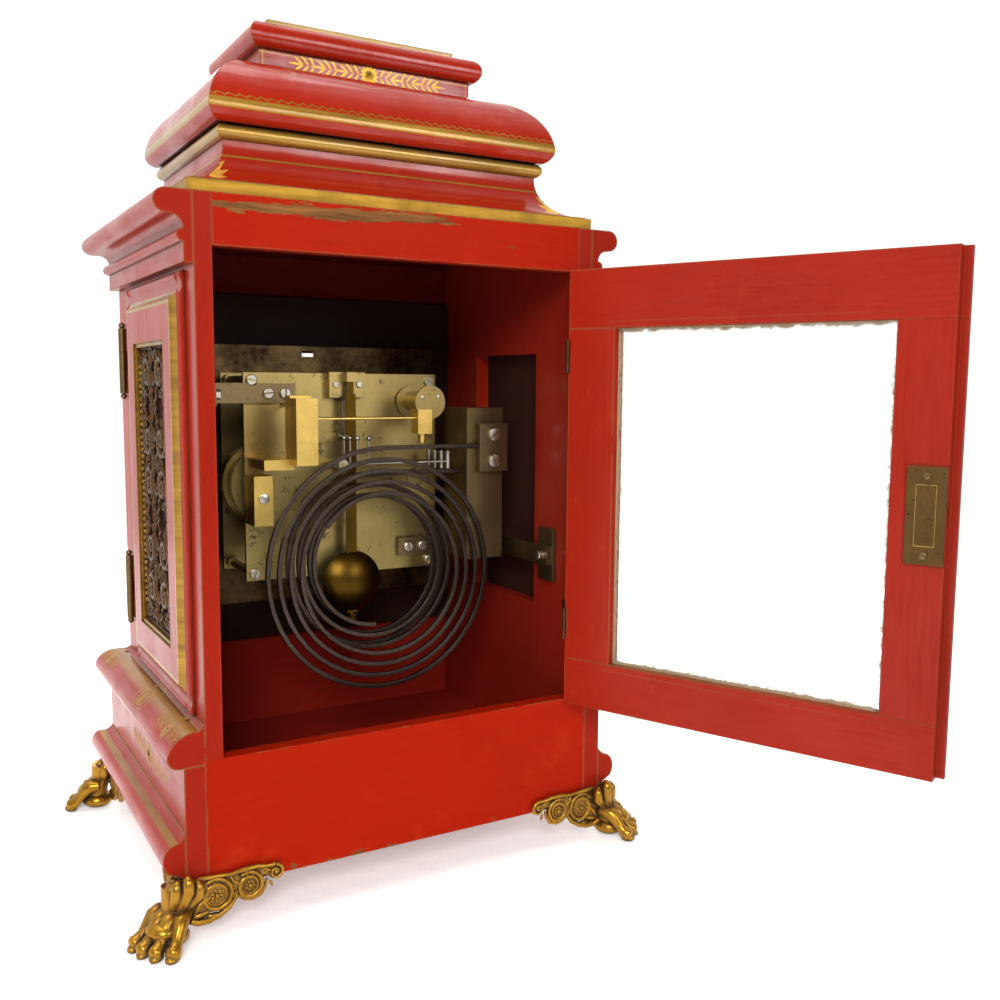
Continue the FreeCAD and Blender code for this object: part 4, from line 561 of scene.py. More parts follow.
def screw(mesh, at, way, radius, height, turn):
    """A cheese head with its slot, standing on a point in millimetres."""
    part = bmesh.new()
    bmesh.ops.create_circle(part, cap_ends=True, segments=28, radius=radius)
    grown = bmesh.ops.extrude_face_region(part, geom=list(part.faces))["geom"]
    bmesh.ops.translate(part, vec=(0, 0, height), verts=only(bmesh.types.BMVert, grown))
    bmesh.ops.inset_region(
        part, faces=only(bmesh.types.BMFace, grown), thickness=radius * 0.14, depth=height * 0.14)
    for side in (-1, 1):
        bmesh.ops.bisect_plane(
            part, geom=part.verts[:] + part.edges[:] + part.faces[:],
            plane_co=(0, side * radius * 0.13, 0), plane_no=(0, 1, 0))
    slot = [
        f for f in part.faces
        if f.normal.z > 0.5 and abs(f.calc_center_median().y) < radius * 0.12]
    floor = bmesh.ops.extrude_face_region(part, geom=slot)["geom"]
    bmesh.ops.delete(part, geom=slot, context="FACES_ONLY")
    bmesh.ops.translate(part, vec=(0, 0, -height * 0.45), verts=only(bmesh.types.BMVert, floor))
    place = shifted(at) @ Vector(way).to_track_quat("Z", "X").to_matrix().to_4x4()
    place = place @ Matrix.Rotation(turn, 4, "Z") @ Matrix.Scale(MM, 4)
    bmesh.ops.transform(part, matrix=place, verts=part.verts)
    join(mesh, part)


# ---- the case

def door_place(f):
    """Coordinates of the open back door: X from its pins, Y through its thickness, Z up."""
    pins = Matrix.Rotation(-BACK_DOOR_OPEN, 3, "Z") @ (BACK_PINS * MM)
    return f.mapped(turn=(0, 0, -BACK_DOOR_OPEN), move=tuple(-pins))


def inner_walls(f):
    return 1 - f.axis("X").abs().above(0.1455, 0.0006)


def all_within(f):
    """Everything but the faces turned to the back and the rim round the doorway."""
    return 1 - f.axis("Y").above(0.1248, 0.0006)


def worn_rail(f):
    """Bare wood in long ragged patches along the upper edge of the back rail."""
    z = f.axis("Z")
    ragged = f.noise(34, 6, 0.80, f.mapped(scale=(0.30, 1, 1.9)))
    x = f.axis("X")
    near = (1 - ((z - 0.4975 + (x - 0.10) * 0.012) * 125).abs()).clamp() * x.band(-0.03, 0.150, 0.05)
    return (ragged * 1.25 + near * 0.36).above(0.83, 0.04) * f.facing("Y").above(0.6, 0.1)


def worn_base(f):
    """Small knocks and a bruised lower edge."""
    z = f.axis("Z")
    low = (1 - (z - 0.033) * 110).clamp()
    return (f.noise(48, 5, 0.75) + low * 0.20).above(0.74, 0.03)


def gilt_on_cornice(f):
    """A faint line on the crown's edge and the worn gold on top of it."""
    z = f.axis("Z")
    edge = z.band(0.5030, 0.5060, 0.0006) * 0.5
    return edge.most(f.facing("Z").above(0.75, 0.2) * 0.55) * (1 - f.facing("Y").above(0.9, 0.05))


def gilt_on_cove(f):
    """The fine line across the cove and the gilt bead above it."""
    z = f.axis("Z")
    return z.band(0.5353, 0.5365, 0.0004).most(z.band(0.5472, 0.5590, 0.0006) * 0.9)


def gilt_on_cushion(f):
    """A wavy line, the gold band below it and a faint looping line near the top."""
    z = f.axis("Z")
    along = f.axis("X") * f.facing("Y").abs() + f.axis("Y") * f.facing("X").abs()
    ripple = along.wave(880) * 0.0007
    line = (z + ripple).band(0.5742, 0.5750, 0.0004)
    band = z.band(0.5658, 0.5724, 0.0014) * 0.80
    scroll = (z + along.wave(150) * 0.0035).band(0.6005, 0.6013, 0.0005) * 0.45
    return line.most(band).most(scroll)


def gilt_on_neck(f):
    """A fine line that frames the panel."""
    upright = f.axis("X").abs().band(0.0838, 0.0845, 0.0003)
    lines = f.axis("Z").band(0.6215, 0.6221, 0.0003).most(upright)
    return lines * (1 - f.facing("Z").abs().above(0.6, 0.1))


def gilt_on_cap(f):
    return f.axis("Z").band(0.6425, 0.6520, 0.0006) * (1 - f.facing("Z").above(0.7, 0.1))


def gilt_on_moulding(f):
    up = f.facing("Z").above(0.86, 0.12)
    return up * (1 - f.facing("Y").above(0.9, 0.05)) * 0.62


def gilt_on_frame(f):
    """The moulded slopes that look along the clock, and the step down to the fret."""
    z = f.axis("Z")
    y = f.axis("Y") - FRET_Y * MM
    slope = y.abs().band(0.0695, 0.0768, 0.0006) * z.band(0.166, 0.440, 0.001)
    ends = (z - 0.303).abs().band(0.1325, 0.1400, 0.0006)
    slope = slope.most(ends * (1 - y.abs().above(0.0765, 0.0006)))
    reveal = (1 - y.abs().above(0.0502, 0.0004)) * z.band(0.1898, 0.4112, 0.0004)
    return (slope * 0.8).most(reveal * 0.8)


RAIL_TOP, RAIL_FOOT = 0.163, 0.425  # the door's low rail ends and its top rail starts


def rails_run_across(f):
    """1 on the rails of the open door, where the grain runs across it."""
    return 1 - f.axis("Z").band(RAIL_TOP, RAIL_FOOT, 0.0004)


def door_handled(f):
    """Darker towards the lock, where hands have been."""
    return f.axis("X", door_place(f)).above(0.19, 0.26) * 0.85


def door_joints(f):
    """The fine lines where the door's stiles meet its rails."""
    half = 0.0002
    low, high = (f.axis("Z").band(z - half, z + half, half) for z in (RAIL_TOP, RAIL_FOOT))
    return low.most(high) * 0.8


def finish_case():
    side = dict(colour=SIDE_RED, deep=SIDE_DEEP, coat=0.5)
    tops = dict(
        colour=(0.42, 0.018, 0.003), deep=(0.25, 0.009, 0.002), gloss=0.24, coat=0.9, back_gloss=1.0)
    moulding = lacquer(
        "moulding_lacquer", "Y", wear=1.9, gloss=0.24, dirt_and_shade=1.0, gilt=gilt_on_moulding, **side)
    panel = lacquer("side_lacquer", "Z", wear=1.0, gloss=0.22, inside=inner_walls, **side)
    finishes = {
        "back_top_rail": lacquer(
            "top_rail_lacquer", "X", wear=0.8, coat=0.05, bare=worn_rail, inside=all_within),
        "base_back_panel": lacquer("back_lacquer", "X", wear=0.6, coat=0.05, bare=worn_base),
        "side_panel_right": panel,
        "side_panel_left": panel,
        # Inner boards: dark red above 0.3 m, the lighter inner red below; the darker upper boards are
        # painted shade in the upper case.
        "carcass_boards": lacquer(
            "inner_boards", "X", (0.12, 0.007, 0.004), (0.04, 0.004, 0.003), wear=0.2, coat=0.1,
            inside=lambda f: 1 - f.axis("Z").above(0.3, 0.05)),
        "plinth_boards": lacquer("plinth_lacquer", "Y", wear=1.3, gloss=0.24, **side),
        "cornice_moulding": lacquer(
            "cornice_lacquer", "Y", wear=1.7, gloss=0.24, dirt_and_shade=1.0, gilt=gilt_on_cornice, **side),
        "base_upper_moulding": moulding,
        "base_lower_moulding": moulding,
        "top_gilt_board": lacquer(
            "gilt_board", "X", (0.40, 0.22, 0.028), (0.17, 0.085, 0.010), wear=1.2, gloss=0.34,
            gilt=lambda f: f.noise(30, 4, 0.6).above(0.36, 0.25)),
        "top_cove": lacquer("cove_lacquer", "X", wear=1.0, dirt_and_shade=1.0, gilt=gilt_on_cove, **tops),
        "top_cushion": lacquer(
            "cushion_lacquer", "X", wear=1.4, dirt_and_shade=1.0, gilt=gilt_on_cushion, **tops),
        "top_neck": lacquer("neck_lacquer", "X", wear=0.9, gilt=gilt_on_neck, **tops),
        "top_cap": lacquer("cap_lacquer", "X", wear=2.0, dirt_and_shade=1.0, gilt=gilt_on_cap, **tops),
        "side_frames": lacquer(
            "frame_lacquer", "Z", wear=1.2, gloss=0.22, dirt_and_shade=1.0, gilt=gilt_on_frame, **side),
        "back_door_frame": lacquer(
            "door_lacquer", "Z", (0.37, 0.018, 0.005), (0.23, 0.009, 0.003), wear=0.9, gloss=0.28,
            coat=0.20, inside=door_handled, place=door_place, rail_grain=("X", rails_run_across),
            bare=door_joints, relief=1.7),
        "front_door_frame": lacquer("front_door_lacquer", "Z", wear=0.8, gloss=0.24, coat=0.4),
    }
    for node, finish in finishes.items():
        dress(node, finish)


DIAL_Z, RING_Y, NUMERALS_AT = 300, -100.15, 90  # the dial's middle, the ring's face, a radius


def front_numerals():
    """Hour numerals round the chapter ring, with their feet to the middle."""
    names = ["XII", "I", "II", "III", "IIII", "V", "VI", "VII", "VIII", "IX", "X", "XI"]
    for i, letters in enumerate(names):
        text = bpy.data.curves.new("numeral", "FONT")
        text.body = letters
        text.size = 19 * MM
        text.align_x = text.align_y = "CENTER"
        text.extrude = 0.05 * MM
        text.space_character = 0.86
        drawn = bpy.data.objects.new("drawn", text)
        flat = bpy.data.meshes.new_from_object(drawn)
        bpy.data.objects.remove(drawn)
        mesh = bmesh.new()
        mesh.from_mesh(flat)
        bpy.data.meshes.remove(flat)
        angle = i * math.tau / 12
        stretch = Matrix.Diagonal((0.80, 1.05, 1, 1))
        upright = Matrix.Rotation(math.pi / 2, 4, "X")
        round_dial = Matrix.Rotation(angle, 4, "Y")
        place = shifted((0, RING_Y, DIAL_Z)) @ round_dial @ shifted((0, 0, NUMERALS_AT))
        place = place @ upright @ stretch
        bmesh.ops.transform(mesh, matrix=place, verts=mesh.verts)
        piece(f"numeral_{i + 1:02d}", mesh, "case", "numeral_ink")


def dial_finish():
    """Brass plate, silvered ring with its minute track, and a matted middle; old dirt behind."""
    f = Finish("dial_brass")
    x = f.axis("X")
    z = f.axis("Z") - DIAL_Z * MM
    far = (x * x + z * z).op("SQRT")
    ring = far.band(0.076, 0.104, 0.0003) * (1 - f.facing("Y").above(-0.5, 0.1))
    around = x.op("ARCTAN2", z)
    ticks = (around * 30).op("SINE").abs()
    minutes = (1 - ticks.above(0.12, 0.06)) * far.band(0.1000, 0.1028, 0.0002)
    rails = far.band(0.0996, 0.1000, 0.0002).most(far.band(0.1028, 0.1032, 0.0002)).most(
        far.band(0.0780, 0.0784, 0.0002))
    cloud = f.noise(60, 4, 0.6)
    brass = f.mix(cloud, (0.52, 0.34, 0.10), (0.80, 0.56, 0.20))
    silver = f.mix(cloud, (0.62, 0.60, 0.55), (0.80, 0.79, 0.75))
    shown = f.mix(ring, brass, silver)
    behind = f.facing("Y").above(0.5, 0.2)
    stains = f.noise(34, 5, 0.75).above(0.5, 0.25)
    shown = f.mix(behind, shown, f.mix(stains, (0.022, 0.012, 0.006), (0.11, 0.07, 0.03)))
    marks = (minutes.most(rails) * ring).clamp()
    shown = f.mix(marks, shown, (0.012, 0.010, 0.010))
    matted = (1 - far.above(0.0755, 0.0004)) * f.noise(900, 2, 0.6)
    return f.set(
        Base_Color=shown, Metallic=(1 - marks).clamp(),
        Roughness=(0.34 + cloud * 0.1 + ring * 0.12).clamp(),
        Normal=f.bump(matted * 0.9 + cloud * 0.2, 0.12))


def cloth_finish():
    """Dark red cloth behind the frets."""
    f = Finish("fret_cloth")
    weave = f.axis("Y").wave(4200) * f.axis("Z").wave(4200)
    tone = (f.noise(40, 4) * 0.7 + weave * 0.2).clamp()
    shown = f.mix(tone, (0.020, 0.006, 0.004), (0.075, 0.018, 0.010))
    return f.set(Base_Color=shown, Roughness=0.9, Specular_IOR_Level=0.1, Normal=f.bump(weave, 0.1))


def glass_finish(name, place=None, sight=None):
    """Thin clear glass; sight gives the opening's low and high X and Z, where putty dirt lies."""
    f = Finish(name)
    clear = f.node("ShaderNodeBsdfTransparent", {}, {"Color": (0.985, 0.99, 0.985)})
    gloss = f.node("ShaderNodeBsdfGlossy", {}, {"Roughness": 0.03, "Color": (1, 1, 1)})
    rim = f.node("ShaderNodeLayerWeight", {}, {"Blend": 0.12}).outputs["Fresnel"]
    share = (Value(f, rim) * 0.35).clamp()
    mixed = f.node("ShaderNodeMixShader", {}, [share, clear.outputs[0], gloss.outputs[0]])
    if sight:
        low_x, high_x, low_z, high_z = sight
        x, z = (f.axis(letter, place(f)) for letter in "XZ")
        near = (x - low_x).least((x - high_x) * -1).least((z - low_z).least((z - high_z) * -1))
        ragged = f.noise(120, 5, 0.75)
        dirt = ((0.0075 - near) * 150 + ragged * 1.6 - 0.55).above(0.30, 0.30)
        specks = f.noise(700, 3, 0.7).above(0.72, 0.05) * ((0.03 - near) * 40).clamp()
        f.set(
            Base_Color=f.mix(ragged, (0.62, 0.52, 0.36), (0.20, 0.12, 0.05)), Roughness=0.8,
            Specular_IOR_Level=0.1)
        soiled = (dirt * 0.85 + specks * 0.8).clamp()
        mixed = f.node("ShaderNodeMixShader", {}, [soiled, mixed.outputs[0], f.skin.outputs[0]])
    f.tree.links.new(mixed.outputs[0], f.output.inputs[0])
    return f.material


METALS = {
    # name: light tone, dark tone, roughness, scale of the spots, tarnish, dirt and painted shade in the
    # hollows
    "gilt_brass": ((0.54, 0.285, 0.032), (0.17, 0.075, 0.008), 0.20, 110, 0.6, 2.4),
    "fret_brass": ((0.14, 0.066, 0.020), (0.04, 0.018, 0.007), 0.30, 130, 0.5, 1.8),
    "fret_beads": ((0.36, 0.18, 0.035), (0.14, 0.065, 0.014), 0.26, 130, 0.3, 1.2),
    "plate_brass": ((0.44, 0.33, 0.120), (0.17, 0.125, 0.045), 0.30, 28, 0.8, 0),
    "bright_brass": ((0.74, 0.52, 0.15), (0.42, 0.27, 0.06), 0.24, 60, 0.3, 0),
    "bob_brass": ((0.11, 0.060, 0.007), (0.035, 0.018, 0.003), 0.24, 30, 0.5, 0),
    "hinge_brass": ((0.24, 0.16, 0.065), (0.08, 0.052, 0.022), 0.32, 80, 0.8, 0),
    "lock_brass": ((0.17, 0.095, 0.030), (0.055, 0.030, 0.012), 0.26, 60, 0.9, 0),
    "stand_steel": ((0.23, 0.165, 0.080), (0.105, 0.070, 0.032), 0.34, 36, 0.6, 0),
    "bright_steel": ((0.56, 0.52, 0.44), (0.30, 0.27, 0.22), 0.24, 90, 0.4, 0),
    "gong_steel": ((0.085, 0.062, 0.050), (0.026, 0.018, 0.014), 0.28, 160, 0.6, 0),
    "blued_steel": ((0.045, 0.05, 0.09), (0.015, 0.015, 0.03), 0.25, 60, 0.5, 0),
    "numeral_ink": ((0.02, 0.018, 0.018), (0.01, 0.01, 0.01), 0.5, 60, 0.5, 0),
    "leaf_gold": ((0.95, 0.58, 0.10), (0.62, 0.33, 0.05), 0.42, 150, 0.3, 0),
    "faded_gold": ((0.58, 0.34, 0.10), (0.34, 0.16, 0.05), 0.45, 150, 0.7, 0),
}
METAL_OF = {
    "plate_brass": (
        "back_plate front_plate movement_pillars back_cock going_barrel strike_barrel chime_barrel "
        "centre_wheel third_wheel escape_wheel minute_wheel strike_pin_wheel chime_second_wheel "
        "chime_drum"),
    "bright_brass": "hour_hammer hammer_cocks",
    "bob_brass": "pendulum",
    "stand_steel": "movement_brackets gong_stand",
    "bright_steel": (
        "pallets_and_crutch quarter_hammer_1 quarter_hammer_2 quarter_hammer_3 quarter_hammer_4"),
    "blued_steel": "hour_hand minute_hand",
    "hinge_brass": (
        "back_hinge_case_leaves back_hinge_door_leaves front_hinge_case_leaves "
        "front_door_fittings"),
    "lock_brass": "back_door_lock back_door_bolt front_door_latch",
}
metals = {name: metal(name, *look) for name, look in METALS.items()}

# The back door's sight in its own coordinates, in metres: low and high X, low and high Z.
BACK_SIGHT = (0.0359, 0.2537, 0.158, 0.430)


def finish_metalwork():
    for name, nodes in METAL_OF.items():
        for node in nodes.split():
            dress(node, metals[name])
    dress("dial_plate", dial_finish())
    dress("dial_mask", lacquer(
        "dial_mask_wood", "Z", (0.030, 0.012, 0.008), (0.012, 0.006, 0.004), wear=0.3))
    dress("fret_cloths", cloth_finish())
    dress("front_door_glass", glass_finish("front_glass"))
    dress("back_door_glass", glass_finish("back_glass", door_place, BACK_SIGHT))


def on_door(x, y, z):
    """A point of the shut back door, from its pins, where it is with the door standing open."""
    return BACK_PINS + Matrix.Rotation(BACK_DOOR_OPEN, 3, "Z") @ Vector((x, y, z))


def screws():
    """The heads on the movement and its brackets, and the two on the lock plate."""
    mesh = bmesh.new()
    turns = iter(range(1, 40))

    def standing(x, y, z, radius, height=2.6, way=(0, 1, 0)):
        screw(mesh, (x, y, z), way, radius + 0.15, height, 0.9 + 1.7 * next(turns))

    for head in (
            # X, Y, Z, radius, and where they differ its height and direction
            (-79.5, -10, 226, 4.2), (-79.5, -10, 384, 4.2), (79.5, -10, 226, 4.2), (79.5, -10, 384, 4.2),
            (53, -5.5, 373.4, 4.2), (67, -5.5, 373.4, 4.2), (-57, -5.5, 239.5, 4.2),
            (-71, -5.5, 239.5, 4.2), (-113.65, 46.8, 317, 5.4), (-113.65, 46.8, 339.5, 5.4),
            (136.5, 89, 373.4, 3.6, 4.3, (-1, 0, 0)), (-136.5, 89, 239.5, 3.6, 4.3, (1, 0, 0)),
            (78.2, 14, 290, 4.0, 2.0)):
        standing(*head)
    for x in (-10.5, 10.5):
        spot = touch("back_cock", (x, 0, 381), (0, -1, 0))
        if spot:
            standing(x, spot.y / MM, 381, 2.4, 1.5)
    for k in range(3):
        angle = 0.5 + k * math.tau / 3
        standing(-61.5 + 8.5 * math.cos(angle), 30, 366.5 + 8.5 * math.sin(angle), 1.5, 0.9)
    piece("plate_screws", mesh, "case", "bright_steel", smooth=30)
    mesh = bmesh.new()
    inwards = Matrix.Rotation(BACK_DOOR_OPEN, 3, "Z") @ Vector((0, -1, 0))
    for k, z in enumerate((274, 325.7)):
        screw(mesh, on_door(272.1, -16.8 - 2.4, z), inwards, 2.5, 1.3, 1.2 + k)
    piece("lock_screws", mesh, "back_door", "hinge_brass", smooth=30)


def lock_engraving():
    """The fine oblong scribed on the lock plate."""
    mesh = bmesh.new()
    low, high, near, far = 280, 319.7, 265.8, 278.4
    corners = [(near, low), (far, low), (far, high), (near, high)]
    for (x0, z0), (x1, z1) in zip(corners, corners[1:] + corners[:1]):
        tube(mesh, [on_door(x0, -19.25, z0), on_door(x1, -19.25, z1)], 0.16, 4)
    piece("lock_scribing", mesh, "back_door", "bright_brass")


# ---- gongs

def coil_points(start, top, radius, turns, y):
    """The gong's route: a straight lead over the top, then half turns, each half a pitch closer."""
    centre_x, pitch = -13.6, 9.2
    points = [(start, y, top), (start * 0.5 + centre_x * 0.5, y, top)]
    bend = radius - pitch / 4
    high, low, left, falling = top, 0.0, turns * 2, True
    while left > 1e-6:
        middle = high - bend if falling else low + bend
        begin = math.pi / 2 if falling else -math.pi / 2
        share = min(1, left)
        count = max(3, round(22 * share))
        for i in range(count):
            angle = begin - share * math.pi * i / count
            points.append((centre_x + bend * math.cos(angle), y, middle + bend * math.sin(angle)))
        last = begin - share * math.pi
        low, high = (middle - bend, high) if falling else (low, middle + bend)
        falling = not falling
        end = (centre_x + bend * math.cos(last), y, middle + bend * math.sin(last))
        bend -= pitch / 2
        left -= 1
    return points + [end]


BAR = 3.6  # the square bar's width
GONGS = [
    # name, the node it replaces, and for each coil: lead's start X, top Z, radius, turns, Y
    ("hour_gong_coil", "hour_gong", [(-112, 330, 101, 4.15, 42)]),
    ("quarter_gong_coils", "quarter_gongs", [
        (-102.4, 307.5, 75, 2.5, 23.3), (-102.4, 307.5, 75, 2.45, 12.3)]),
]


def wind_gongs():
    corner = BAR / math.sqrt(2)
    for name, replaced, coils in GONGS:
        mesh = bmesh.new()
        for coil in coils:
            tube(mesh, coil_points(*coil), corner, 4, math.pi / 4)
        piece(name, mesh, "case", "gong_steel", [replaced], smooth=40, bevel=0.55)


# ---- side frets

def fret_scrolls(mesh, spot):
    """Scrolling foliage in five storeys, mirrored about the middle of the fret."""
    out = 3.0
    for storey in range(5):
        base = FRET_Z + (storey - 2) * STOREY
        flip = -1 if storey % 2 else 1
        for hand in (-1, 1):
            scroll = curl(
                (hand * 21, base + flip * 4), 16.5, 3.2, 1.55, -flip * math.pi / 2, hand * flip)
            count = len(scroll)
            tube(mesh, [spot(a, b, out + 0.6 * (i / count)) for i, (a, b) in enumerate(scroll)],
                 [1.5 + 0.6 * math.sin(math.pi * min(1, i / count * 1.1)) for i in range(count)], 6)
            for far, high, outer, inner, turns, begin, thick in (
                    (34.5, -flip * 14.5, 8.5, 2.2, 1.25, flip * math.pi / 2, 1.15),
                    (8.5, flip * 18.0, 7.5, 1.8, 1.15, -hand * 0.4, 1.0)):
                small = curl((hand * far, base + high), outer, inner, turns, begin, -hand * flip)
                tube(mesh, [spot(a, b, out) for a, b in small], thick, 6)
            for k in range(7):
                angle = flip * (-1.3 + 0.52 * k)
                a, b = polar((21, base + flip * 4), 14.2 + (k % 2) * 1.2, angle)
                way = spot(hand * math.cos(angle + 0.7), math.sin(angle + 0.7), 0) - spot(0, 0, 0)
                lump(mesh, spot(hand * a, b, out + 0.9), (4.4, 1.7, 1.3), way, 6, 4)
            for k in range(5):
                a, b = polar((hand * 21, base + flip * 4), 2.6, k * math.tau / 5)
                lump(mesh, spot(a, b, out + 1.2), (1.5, 1.3, 1.2), None, 6, 4)
        for hand in (-1, 1):
            vine = [(hand * (3 + 8 * math.sin(t * math.pi / 7)), base - 20 + 41 * t / 7) for t in range(8)]
            tube(mesh, [spot(a, b, out) for a, b in vine], 1.1, 6)
            for k in range(10):
                high = base - 19 + 4.1 * k
                far = hand * (5 + 8 * math.sin((k + 0.4) * math.pi / 10))
                way = aim(spot, hand * (0.5 if k % 2 else 2.4))
                lump(mesh, spot(far, high, out + 0.7), (4.2, 1.5, 1.2), way, 6, 4)
                lump(mesh, spot(hand * (38 + 3 * math.sin(k * 1.7)), high, out + 0.5), (3.6, 1.4, 1.1),
                     way, 6, 4)
        for k in range(6):
            angle = math.pi / 2 + (k - 2.5) * 0.42
            a, b = 7.0 * math.cos(angle), base - 7 + 8.5 * math.sin(angle)
            lump(mesh, spot(a, b, out + 1.0), (5.2, 1.6, 1.3), aim(spot, angle), 6, 4)
        lump(mesh, spot(0, base - 8, out + 1.4), (2.6, 2.6, 2.2), None, 8, 5)


def make_frets():
    """Both frets: foliage inside a wire border with two rows of beads."""
    foliage, beads = bmesh.new(), bmesh.new()
    for side in (-1, 1):
        def spot(along, high, out):
            return Vector((side * (FRET_X + out), FRET_Y + along, high))

        fret_scrolls(foliage, spot)
        for z in (193.6, 197.6, 203.4, 397.6, 403.4, 407.4):
            tube(foliage, [spot(-49.5, z, 2.2), spot(49.5, z, 2.2)], 0.9, 5)
        for along in (-49, -42.6, 42.6, 49):
            tube(foliage, [spot(along, 191, 2.2), spot(along, 410, 2.2)], 0.9, 5)
        for k in range(34):
            for z, lean in ((200.5, 1), (400.5, -1)):
                a = -46 + k * 92 / 33
                way = spot(0.8, lean * (1 if k % 2 else -1), 0) - spot(0, 0, 0)
                lump(foliage, spot(a, z, 2.6), (2.9, 1.0, 1.0), way, 6, 4)
        for k in range(38):
            for along in (-45.8, 45.8):
                lump(beads, spot(along, 208.5 + k * 5.0, 3.0), (1.95, 1.95, 1.95), None, 8, 5)
    piece("fret_scrollwork", foliage, "case", "fret_brass", ["side_frets"])
    piece("fret_bead_rows", beads, "case", "fret_beads")


# ---- paw feet

PLINTH_X, PLINTH_BACK, PLINTH_FRONT = 172, 125.3, 140.1


def paw(mesh, tip, away, flute_tops):
    """A lion's paw under a corner, fluted up to the plinth. The corner is at the origin."""
    across = Z.cross(away)
    ankle = tip - away * 30

    def spot(along, aside, high):
        place = ankle + away * along + across * aside
        return Vector((place.x, place.y, high))

    toe = [(2, 22.5, 4.0), (8, 22.5, 5.2), (13, 20.5, 5.7), (17, 15.5, 4.6), (20.5, 11, 4.0),
           (24, 7.6, 4.9), (27.2, 6.2, 5.4), (29.4, 5.4, 4.4), (30.5, 5.0, 2.0)]
    claw = [(27, 4.6, 2.3), (30, 3.4, 1.7), (31.8, 1.4, 0.5)]
    for k in range(4):
        place = k - 1.5
        fan = place * 0.24
        back = 2.4 * abs(place) ** 1.3
        for run, sides in ((toe, 12), (claw, 8)):
            points = [
                spot((d - back) * math.cos(fan), place * 5.2 + d * math.sin(fan) * 0.9, z)
                for d, z, _ in run]
            tube(mesh, points, [thick for _, _, thick in run], sides)
        lump(mesh, spot(26 - back, place * 5.4 + 26 * math.sin(fan) * 0.9, 3.0), (6.0, 4.4, 3.0), away)
    lump(mesh, spot(6, 0, 7.4), (13.5, 13.0, 7.4), away, 16, 9)
    lump(mesh, spot(14, 0, 15), (9.5, 12.0, 6.5), away, 14, 8)
    leg = [(7, 5, 9.5), (6, 12, 9.0), (4.5, 19, 8.2), (2.5, 26, 8.0), (0, 33, 9.5), (-1, 40, 10.0)]
    tube(mesh, [spot(d, 0, z) for d, z, _ in leg], [thick for _, _, thick in leg], 16)
    for angle, top in flute_tops:
        way = Vector((math.cos(angle), math.sin(angle), 0))
        base = ankle + away * 4
        run = [
            (3.0, 19, 2.0), (5.4, 25, 2.7), (8.4, 31, 3.6), (10.8, 0.80 * top, 4.3),
            (11.0, 0.93 * top, 3.9), (9.4, 0.99 * top, 2.6), (7.8, top, 1.0)]
        points = []
        for i, (far, z, _) in enumerate(run):
            share = min(1, i / 3)
            start = base * (1 - share) + Vector((0.5, 0.5, 0)) * share
            points.append(Vector((start.x, start.y, z)) + way * far)
        tube(mesh, points, [thick for _, _, thick in run], 10)


